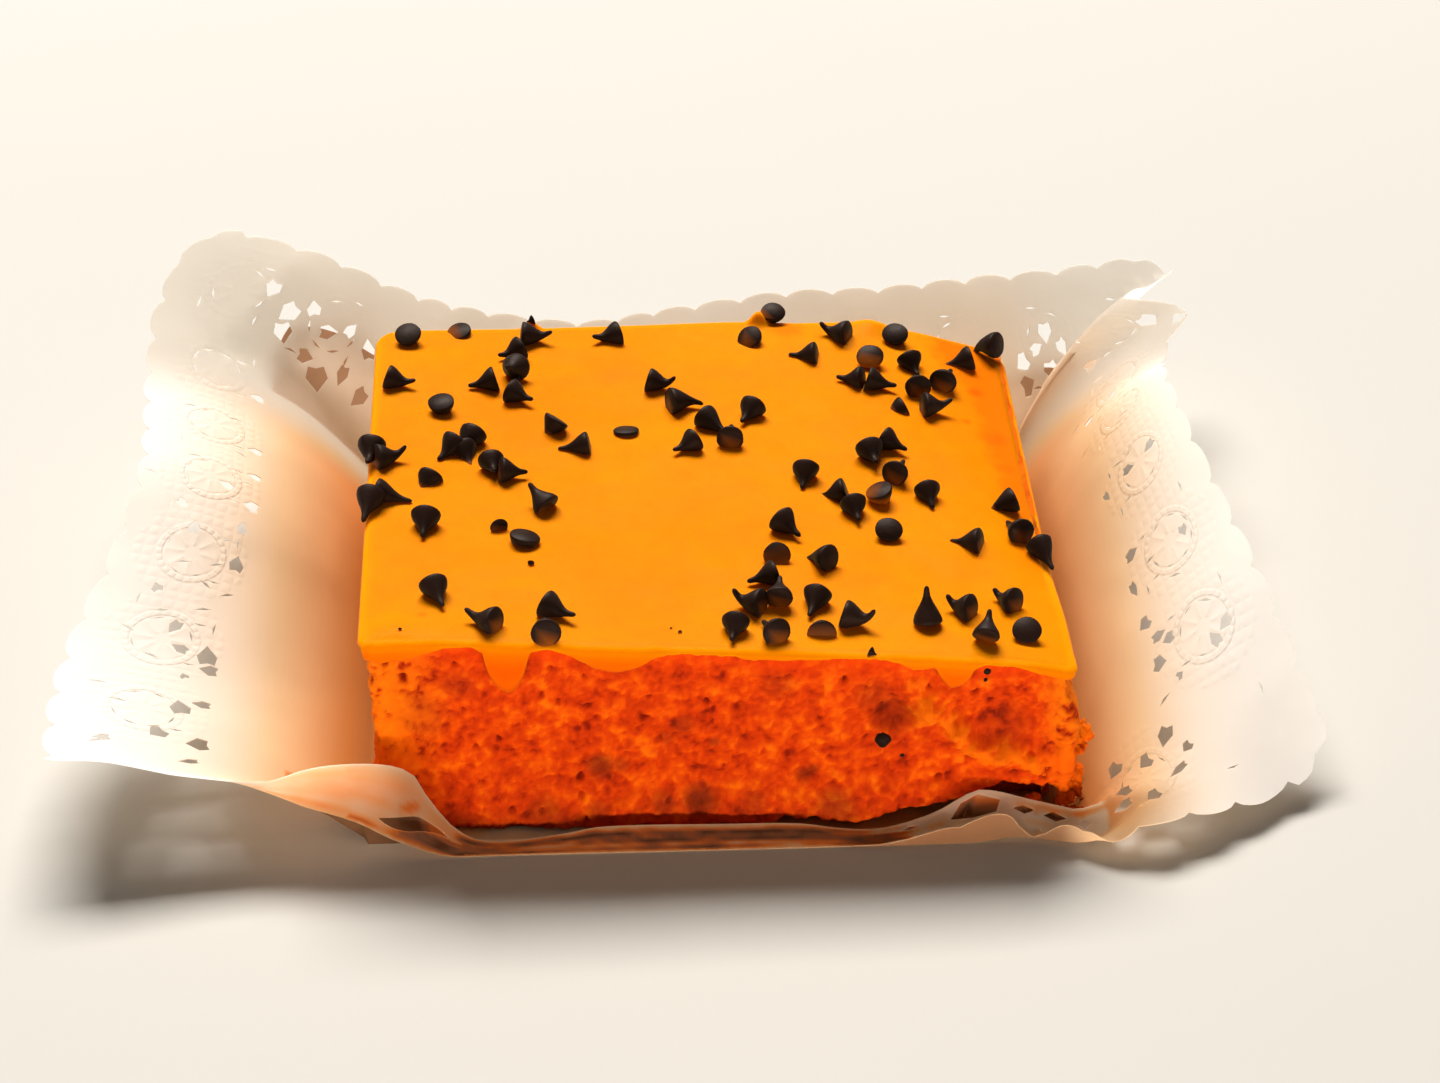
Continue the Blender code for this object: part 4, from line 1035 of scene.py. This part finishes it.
sponge = marked_piece("sponge_block", points, faces, sponge_finish, {"tone": tones, "dark_spots_and_shade": dark_spots_and_shade_values})
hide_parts("sponge")

# Torn lumps and crumbs that hang on or lie by the broken corner: (x, y, z, radius)
LUMPS = ((56.6, -47.6, 12.8, 2.0), (58.6, -46.6, 13.4, 1.7), (57.8, -47.4, 10.9, 1.6), (55.9, -49.6, 11.0, 1.2),
         (59.6, -46.2, 11.9, 1.0), (55.2, -49.6, 5.6, 1.9), (57.2, -48.6, 4.4, 1.8), (56.0, -50.0, 2.9, 1.5),
         (53.8, -50.6, 7.2, 1.3), (58.4, -47.6, 6.0, 1.0), (58.2, -48.8, 2.6, 1.0), (52.2, -50.6, 8.4, 1.4),
         (50.5, -51.8, 3.6, 1.1), (47.5, -53.0, 2.6, 0.8), (54.0, -54.0, 3.0, 0.7), (60.4, -46.0, 2.2, 0.7))
chance = random.Random(3)
for k in range(34):
    LUMPS += ((chance.uniform(38, 61), chance.uniform(-54.0, -49), 1.4, chance.uniform(0.22, 0.55)),)
points, faces, tones = [], [], []
for x, y, z, radius in LUMPS:
    work = bmesh.new()
    bmesh.ops.create_icosphere(work, subdivisions=4 if radius > 0.9 else 3, radius=radius)
    first = len(points)
    own = Vector((x * 3.1, y, z))
    for v in work.verts:
        at = Vector((x, y, z)) + v.co
        out, tone = crumb(at * 1.6)
        lumpy = 0.55 * noise.noise(v.co / radius * 1.0 + own) + 0.30 * noise.noise(v.co / radius * 2.4 + own)
        push = v.co.normalized() * (out * min(0.6, radius * 0.35) + lumpy * radius)
        points.append(tuple(at + push))
        tones.append(min(1.0, 0.8 * tone + 0.24))
    faces += [tuple(first + v.index for v in face.verts) for face in work.faces]
    work.free()
lumps = marked_piece("torn_crumbs", points, faces, sponge_finish, {"tone": tones, "dark_spots_and_shade": [0.0] * len(points)})
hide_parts("sponge")


# Icing
# A satin orange icing poured over the block while runny: a soft shoulder, a few drips over the
# cut face and a torn, peaked back edge. It is thinner and redder along the right side.
SHOULDER = 1.3
# Drips over the cut face: (x, half width, length, how much of it is a round-ended finger)
DRIPS = ((-53.4, 6.4, 2.9, 0.0), (-34.3, 3.5, 8.6, 0.72), (-17.4, 6.0, 3.8, 0.25), (30.6, 2.6, 1.6, 0.3),
         (36.9, 3.0, 4.6, 0.5), (56.8, 6.0, 1.5, 0.0), (8.0, 7.0, 0.8, 0.0))
PEAKS = ((11.4, 53.0, 2.4, 2.6), (-29.8, 51.0, 1.6, 2.4), (32.0, 52.5, 0.9, 5.0), (-52.0, -46.0, 0.5, 6.0))


def icing_top(x, y):
    """Height of the icing's top at a place on it."""
    inset = min(x - CAKE_LEFT, CAKE_RIGHT - x, y - front_y(x), back_y(x) - y)
    wave = 0.45 * noise.noise(Vector((x * 0.05, y * 0.05, 3.1))) + 0.16 * noise.noise(Vector((x * 0.16, y * 0.16, 7.7)))
    z = top_z(x, y) + wave * smooth(inset / 10 + 0.2)
    z -= 1.0 * smooth((x - 41 - 6 * smooth((20 - y) / 60)) / 15) * smooth((y + 50) / 40)
    for px, py, tall, wide in PEAKS:
        z += tall * smooth(1 - math.hypot(x - px, y - py) / wide)
    return z


def hem(x, y, nx, ny):
    """How far below the top the icing's lower edge hangs."""
    ragged = 0.35 * noise.noise(Vector((x * 0.35, y * 0.35, 1.0))) + 0.25 * noise.noise(Vector((x * 1.1, y * 1.1, 4.0)))
    if ny > -0.6:
        side = smooth((y + 50) / 8) if abs(nx) > 0.5 else 1.0
        return 1.0 + (1.9 + 2 * ragged) * side
    low = GLAZE - 0.1 + ragged * 0.9
    for at, wide, more, finger in DRIPS:
        d = abs(x - at + 0.5 * ragged)
        low += more * (finger * max(0.0, 1 - (d / wide) ** 2) ** 0.6 + (1 - finger) * smooth(1 - d / (1.9 * wide)))
    return low


def overhang(x, y, nx, ny):
    """How far the icing stands proud of the cut block."""
    proud = 0.95 if nx < -0.5 or ny > 0.5 else 0.15 + 0.7 * max(0.0, nx) * smooth((-20 - y) / 20)
    return proud + 0.35 * smooth((hem(x, y, nx, ny) - GLAZE - 0.6) / 1.5) if ny < -0.6 else proud


ring = cake_outline(0.45, 0.7)
count = len(ring)
points, rows = [], []


def hem_row(place):
    rows.append(len(points))
    for x, y, nx, ny in ring:
        o, z = place(x, y, nx, ny)
        points.append((x + nx * o, y + ny * o, z))


INNER = 1.9
for i in range(7):
    f = i / 6
    hem_row(lambda x, y, nx, ny, f=f: (
        -INNER + (INNER + overhang(x, y, nx, ny) - SHOULDER) * f,
        icing_top(x - nx * INNER * (1 - f), y - ny * INNER * (1 - f)) - 0.12 * f * f))
for i in range(1, 7):
    a = math.pi / 2 * i / 6
    hem_row(lambda x, y, nx, ny, a=a: (
        overhang(x, y, nx, ny) - SHOULDER * (1 - math.sin(a)),
        icing_top(x, y) - 0.12 - min(SHOULDER, hem(x, y, nx, ny) * 0.8) * (1 - math.cos(a))))
for i in range(1, 8):
    f = i / 7

    def side_place(x, y, nx, ny, f=f):
        low = hem(x, y, nx, ny)
        start = 0.12 + min(SHOULDER, low * 0.8)
        bead = 0.5 * smooth((low - 3) / 3) * smooth(1 - abs(f - 0.72) / 0.35)
        out = overhang(x, y, nx, ny) * (1 - 0.3 * f) * (1 - smooth((f - 0.75) / 0.25) * 0.6) + bead
        return out, icing_top(x, y) - start - (low - start) * f

    hem_row(side_place)
hem_row(lambda x, y, nx, ny: (-0.5, icing_top(x, y) - hem(x, y, nx, ny) + 0.1))
hem_row(lambda x, y, nx, ny: (-1.2, top_z(x, y) - GLAZE))
faces = []
for a, b in zip(rows, rows[1:]):
    for i in range(count):
        j = (i + 1) % count
        faces.append((a + i, a + j, b + j, b + i))
faces.append(tuple(range(rows[-1], rows[-1] + count)))
flat = [points[rows[0] + i][:2] for i in range(count)]
step = 0.75
for i in range(1, int((CAKE_RIGHT - CAKE_LEFT - 2 * INNER) / step)):
    for k in range(1, int((CAKE_BACK + 5 - FRONT_RIGHT_Y - 2 * INNER) / step)):
        x = CAKE_LEFT + INNER + step * (i + 0.3)
        y = front_y(x) + INNER + step * (k + 0.2)
        if x < CAKE_RIGHT - INNER - 0.4 and y < back_y(x) - INNER - 0.5:
            flat.append((x, y))
edges = [(i, (i + 1) % count) for i in range(count)]
found = delaunay_2d_cdt([Vector(p) for p in flat], edges, [], 1, 1e-6)
index = {}
for i, v in enumerate(found[0]):
    if found[3][i] and found[3][i][0] < count:
        index[i] = rows[0] + found[3][i][0]
    else:
        index[i] = len(points)
        points.append((v.x, v.y, icing_top(v.x, v.y)))
faces += [tuple(index[i] for i in face) for face in found[2]]

icing_finish, tree, shader = surface("orange icing", Roughness=0.42, Specular_IOR_Level=0.016,
                                     Specular_Tint=(1.0, 0.45, 0.03, 1.0),
                                     Subsurface_Weight=0.35, Subsurface_Scale=0.003)
shader.inputs["Subsurface Radius"].default_value = (1.0, 0.45, 0.04)
spot = places(tree)
cloud = use_group(tree, mottle, {"Vector": spot, "Large": 26.0, "Small": 240.0, "Share": 0.35})
axes = add_node(tree, "ShaderNodeSeparateXYZ", {0: spot}).outputs
wobble = maths(tree, "MULTIPLY_ADD", cloud.outputs["Mask"], 0.022, -0.011)
lean_in = maths(tree, "MULTIPLY_ADD", axes["Y"], 0.10, 0.0)
thin_side = band(tree, maths(tree, "ADD", maths(tree, "ADD", axes["X"], wobble), lean_in), 0.0465, 0.0510)
thin_side = maths(tree, "MULTIPLY", thin_side, band(tree, axes["Y"], -0.035, -0.005))
icing_colour = ramp(tree, cloud.outputs["Mask"], ((0.36, (0.71, 0.180, 0.0002)), (0.50, (0.72, 0.200, 0.0002)),
                                                 (0.64, (0.74, 0.218, 0.0006))))
icing_colour = blend(tree, thin_side, icing_colour, (0.74, 0.136, 0.0004))
# The shoulder, drips and sides that hang down are brighter and redder than the top: partly thin icing over the red
# crumb, partly painted light where they face away from the high light
hang = add_node(tree, "ShaderNodeAttribute", attribute_name="hang").outputs["Fac"]
hem_tint_and_painted_light = ramp(tree, hang, ((0.0, (0.92, 0.250, 0.0004)), (0.12, (1.0, 0.255, 0.0004)),
                               (0.40, (0.98, 0.165, 0.0004)), (1.0, (0.94, 0.110, 0.0006))))
icing_colour = blend(tree, band(tree, hang, 0.0, 0.07), icing_colour, hem_tint_and_painted_light)
stain = add_node(tree, "ShaderNodeAttribute", attribute_name="stain").outputs["Fac"]
icing_colour = blend(tree, stain, icing_colour, (0.62, 0.070, 0.0006))
icing_colour = calmer_bounce(tree, icing_colour, (0.62, 0.36, 0.12))
tree.links.new(icing_colour, shader.inputs["Base Color"])
relief(tree, shader, cloud.outputs["Fine"], 0.0002, 0.3)
# Redder flecks on the top: (x, y, reach, share)
FLECKS = ((49.0, 33.0, 1.6, 0.7), (46.4, 22.2, 0.9, 0.6), (50.5, 18.0, 3.0, 0.45), (16.5, 50.5, 3.5, 0.35),
          (-47.5, -42.0, 1.0, 0.4), (51.5, 8.0, 2.0, 0.3))
hangs = [min(1.0, max(0.0, (icing_top(x, min(max(y, front_y(x)), back_y(x))) - z) / 4.5)) for x, y, z in points]
stains = [max([0.0] + [share * smooth(1.3 - math.hypot(x - fx, y - fy) / reach)
                       for fx, fy, reach, share in FLECKS]) for x, y, z in points]
icing = marked_piece("poured_icing", points, faces, icing_finish, {"hang": hangs, "stain": stains})
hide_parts("icing")


# Chocolate drops
# Small baking drops of dark chocolate, each a flat-based kiss with a drawn-out tip that
# curls. They were scattered on the soft icing; most lie on their sides and some have sunk in.
DROP_RADIUS = 2.38
DROP_LONG = 5.1
# Profile of a drop from its base to its tip: (share of the length, share of the radius)
KISS = ((0, 0.93), (0.03, 1.0), (0.10, 0.99), (0.21, 0.90), (0.35, 0.71), (0.49, 0.51), (0.62, 0.35), (0.73, 0.25),
        (0.84, 0.205), (0.94, 0.175), (1.0, 0.09))
# Each drop as the photo shows it: middle across and down in pixels, the way its tip points in the
# picture, how far it leans from upright; then where it differs: curl of the tip, which way it curls
# round the drop, how deep it sits in the icing, and how long it is
DROPS = (
    (408, 337, 60, 158, 0, 0, 2.7), (459, 337, 20, 160, 0, 0, 4.3), (536, 334, 0, 100, 45, 20, 0.6, 1.15),
    (513, 348, 195, 105), (516, 367, 235, 70, 20), (518, 391, -20, 100, 20), (399, 377, -8, 105, 40, 0, 0.5, 1.1),
    (484, 379, 185, 105, 10), (441, 408, 35, 166, 0, 0, 2.9), (372, 449, 257, 105, 30, 0, 0.5, 1.15),
    (389, 457, 12, 102, 60, 0, 0.5, 1.2), (452, 446, 215, 106, 10, 0, 0.9), (471, 439, 225, 108, 20, 0, 0.6, 1.25),
    (463, 453, 300, 104, 10, 0, 1.9), (491, 461, 285, 95, 30), (512, 470, 5, 105, 10), (555, 428, 200, 140, 0, 0, 1.8),
    (575, 444, 180, 104, 15, 0, 0.9, 1.15, 0.9), (626, 441, 268, 168, 0, 0, 4.2), (660, 380, -8, 102, 65, 0, 0.5, 1.15),
    (684, 401, 10, 98, 40, 90, 0.5, 1.15), (712, 420, -32, 104, 15, 0, 0.6, 1.35), (688, 440, 200, 104, 15),
    (608, 334, 190, 95, 30, 0, 1.2), (773, 315, 90, 155, 0, 0, 2.5), (750, 338, 30, 140, 20, 0, 2.4),
    (804, 354, 175, 105, 20, 0, 1.2), (836, 333, 165, 100, 50, 0, 0.8, 1.1), (895, 336, 50, 152, 0, 0, 2.6),
    (870, 358, 90, 150, 0, 0, 2.6), (851, 378, 170, 104, 20, 0, 0.7), (880, 379, -8, 104, 10, 0, 0.7, 1.1),
    (909, 363, 300, 112, 15), (918, 387, 95, 100, 10), (943, 381, 55, 100, 10, 0, 0.5, 1.15),
    (936, 405, 5, 100, 50, 0, 0.5, 1.1), (960, 358, 185, 104, 10), (988, 345, 160, 108, 50, 180, 0.4, 1.2),
    (895, 408, 190, 108, 60, 0, 1.9), (753, 409, 225, 104, 10), (730, 437, 80, 100, 15), (892, 439, -20, 104, 5),
    (869, 450, 290, 104, 30), (806, 474, 250, 112, 10), (895, 473, 50, 102, 25), (835, 491, 180, 112, 50, 90, 0.9),
    (853, 507, 285, 106, 15), (879, 498, 0, 160, 0, 0, 2.8), (889, 530, 100, 148, 0, 0, 2.4), (927, 494, 285, 104, 0),
    (785, 522, -35, 104, 5), (777, 555, 90, 128, 0, 0, 2.0), (822, 558, 152, 108, 25, 180, 0.5, 1.15),
    (764, 573, 188, 102, 0), (779, 592, 80, 80, 15), (750, 603, 165, 100, 70, 0, 0.5, 1.1), (736, 626, 250, 106, 15),
    (776, 632, 130, 104, 5), (818, 600, 238, 106, 20, 0, 0.5, 1.15), (822, 633, 90, 100, 0, 0, 1.9),
    (857, 614, -10, 102, 75, 0, 0.5, 1.15), (967, 542, 170, 104, 20, 0, 1.3), (1003, 502, 188, 106, 25, 180, 0.5, 1.15),
    (1020, 532, 125, 104, 15, 0, 0.5, 1.1), (1040, 552, 300, 106, 10, 0, 0.2, 1.3), (928, 606, 105, 20, 10, 0, 0.3, 1.2),
    (962, 608, 160, 104, 75), (986, 626, 65, 62, 20), (1008, 601, 150, 106, 60), (1027, 630, 95, 146, 0, 0, 2.4),
    (371, 503, 250, 104, 5, 0, 0.5, 1.25), (391, 491, -8, 106, 10, 0, 0.6, 1.35), (430, 482, 225, 110, 10, 0, 1.8),
    (426, 521, 260, 104, 5), (543, 499, 150, 62, 10, 0, 1.2), (525, 547, 200, 164, 0, 0, 3.9, 1.0, 1.12),
    (433, 590, 300, 104, 5, 0, 0.5, 1.1), (484, 621, 160, 102, 45, 0, 0.5, 1.15), (556, 604, -18, 104, 20, 0, 0.5, 1.15),
    (546, 632, 95, 100, 15),
)
# Drops that have sunk under a skin of icing
COATED = ((870, 358), (777, 555), (879, 498), (822, 633))
CHIPS = ((499, 527, 1.5), (531, 563, 0.55), (872, 652, 1.0), (400, 629, 0.3), (680, 632, 0.35), (671, 628, 0.2),
         (531, 320, 1.0), (516, 381, 1.4))

def under_pixel(px, py, z):
    """The place at a height that shows at a pixel of the photo."""
    ray = rightward * (px - PHOTO_WIDE / 2) + skyward * (PHOTO_TALL / 2 - py) - back * PHOTO_FOCAL
    return eye + ray * ((z - eye.z) / ray.z)


chance = random.Random(11)
SEGMENTS = 20
drop_points, drop_faces, films = [], [], []


def drop_shape(tip, lean, curl, roll, size, long):
    """Points of a drop round its own base, ring by ring, then the very tip."""
    tip, lean, curl, roll = (math.radians(v) for v in (tip, lean, curl, roll))
    ahead = Vector((math.cos(tip), math.sin(tip) / math.sin(math.radians(CAMERA_RISE)), 0.0)).normalized()
    axis = ahead * math.sin(lean) + Vector((0, 0, math.cos(lean)))
    rise = (Vector((0, 0, 1)) - axis * axis.z).normalized()
    side = axis.cross(rise)
    hook = rise * math.cos(roll) + side * math.sin(roll)
    squash = chance.uniform(0.9, 1.0)
    dent = chance.uniform(0, 50)
    shape, centre, before = [], Vector((0, 0, 0)), 0.0
    for share, radius in KISS:
        turn = curl * smooth((share - 0.35) / 0.65)
        way = axis * math.cos(turn) + hook * math.sin(turn)
        centre = centre + way * (share - before) * DROP_LONG * size * long
        before = share
        first = way.cross(side).normalized()
        wide = radius * DROP_RADIUS * size
        for i in range(SEGMENTS):
            a = math.tau * i / SEGMENTS
            spoke = side * math.cos(a) + first * math.sin(a) * squash
            uneven = 1 + 0.07 * noise.noise(spoke * 1.3 + Vector((dent, share * 2, 0)))
            shape.append(centre + spoke * wide * uneven)
    return shape, centre


def lay_drop(px, py, tip, lean, curl=25, roll=0, sink=0.5, long=1.0, size=1.0):
    size *= chance.uniform(0.94, 1.05)
    coated = (px, py) in COATED
    shape, end = drop_shape(tip, lean, curl + chance.uniform(-6, 6), roll, size, long)
    shape.append(end)
    low = min(p.z for p in shape)
    shift = under_pixel(px, py, 35.0)
    for _ in range(5):
        x = min(max(shift.x, CAKE_LEFT + 1), CAKE_RIGHT - 0.5)
        y = min(max(shift.y, front_y(x) + 1), back_y(x) - 0.5)
        shift.z = icing_top(x, y) - sink - low
        seen = [in_photo(p + shift) for p in shape]
        wide = (min(s[0] for s in seen) + max(s[0] for s in seen)) / 2
        tall = (min(s[1] for s in seen) + max(s[1] for s in seen)) / 2
        place, want = under_pixel(wide, tall, shift.z), under_pixel(px, py, shift.z)
        shift = shift + want - place
    first = len(drop_points)
    coat = 0.95 * smooth((sink - 1.6) / 0.8) if coated else 0.0
    for p in shape:
        at = p + shift
        above = at.z - icing_top(min(max(at.x, CAKE_LEFT), CAKE_RIGHT), min(max(at.y, front_y(at.x)), back_y(at.x)))
        drop_points.append(tuple(at))
        films.append(max(coat * smooth(1.7 - above / 1.2), 0.6 * smooth(1 - above / 0.3)))
    rings = len(KISS)
    drop_faces.append(tuple(first + i for i in reversed(range(SEGMENTS))))
    for k in range(rings - 1):
        a = first + k * SEGMENTS
        for i in range(SEGMENTS):
            j = (i + 1) % SEGMENTS
            drop_faces.append((a + i, a + j, a + SEGMENTS + j, a + SEGMENTS + i))
    a = first + (rings - 1) * SEGMENTS
    for i in range(SEGMENTS):
        drop_faces.append((a + i, a + (i + 1) % SEGMENTS, first + rings * SEGMENTS))
    return shift


for drop in DROPS:
    lay_drop(*drop)
for px, py, radius in CHIPS:
    lay_drop(px, py, chance.uniform(0, 360), 100, 10, 0, radius * 0.5, 0.6, radius / DROP_RADIUS)

chocolate, tree, shader = surface("dark chocolate", Roughness=0.50, Specular_IOR_Level=0.09,
                                  Specular_Tint=(1.0, 0.82, 0.66, 1.0))
spot = places(tree)
bloom = use_group(tree, mottle, {"Vector": spot, "Large": 170.0, "Small": 1400.0, "Share": 0.4})
brown = blend(tree, bloom.outputs["Mask"], (0.011, 0.0045, 0.0034), (0.023, 0.0100, 0.0066))
film = add_node(tree, "ShaderNodeAttribute", attribute_name="film").outputs["Fac"]
tree.links.new(blend(tree, film, brown, (0.42, 0.095, 0.002)), shader.inputs["Base Color"])
satin = ramp(tree, bloom.outputs["Mask"], ((0.3, (0.42,) * 3), (0.7, (0.60,) * 3)))
tree.links.new(maths(tree, "MAXIMUM", satin, maths(tree, "MULTIPLY", film, 0.9)), shader.inputs["Roughness"])
relief(tree, shader, bloom.outputs["Fine"], 0.0001, 0.5)
drops = marked_piece("chocolate_drops", drop_points, drop_faces, chocolate, {"film": films})
drops.data.set_sharp_from_angle(angle=math.radians(60))
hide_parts("icing")

# A whole drop baked into the crumb and a few specks of others: (x, z, radius)
BAKED_IN = ((25.8, 15.9, 1.35), (29.0, 12.8, 0.45), (42.1, 29.0, 0.6), (42.0, 27.2, 0.45), (-24.5, 12.0, 0.3),
            (30.5, 25.5, 0.3))
points, faces = [], []
for x, z, radius in BAKED_IN:
    work = bmesh.new()
    bmesh.ops.create_icosphere(work, subdivisions=3, radius=radius)
    first = len(points)
    deep = sum(deep * smooth(1 - math.hypot(x - dx, z - dz) / reach) for dx, dz, reach, deep in DENTS)
    for v in work.verts:
        at = v.co * (1 + 0.25 * noise.noise(v.co * 0.9 + Vector((x, 0, z))))
        points.append((x + at.x, front_y(x) + 0.9 + max(0.0, deep) + at.y * 0.8, z + at.z))
    faces += [tuple(first + v.index for v in face.verts) for face in work.faces]
    work.free()
baked = marked_piece("baked_in_chocolate", points, faces, chocolate, {"film": [0.0] * len(points)})
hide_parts("sponge")
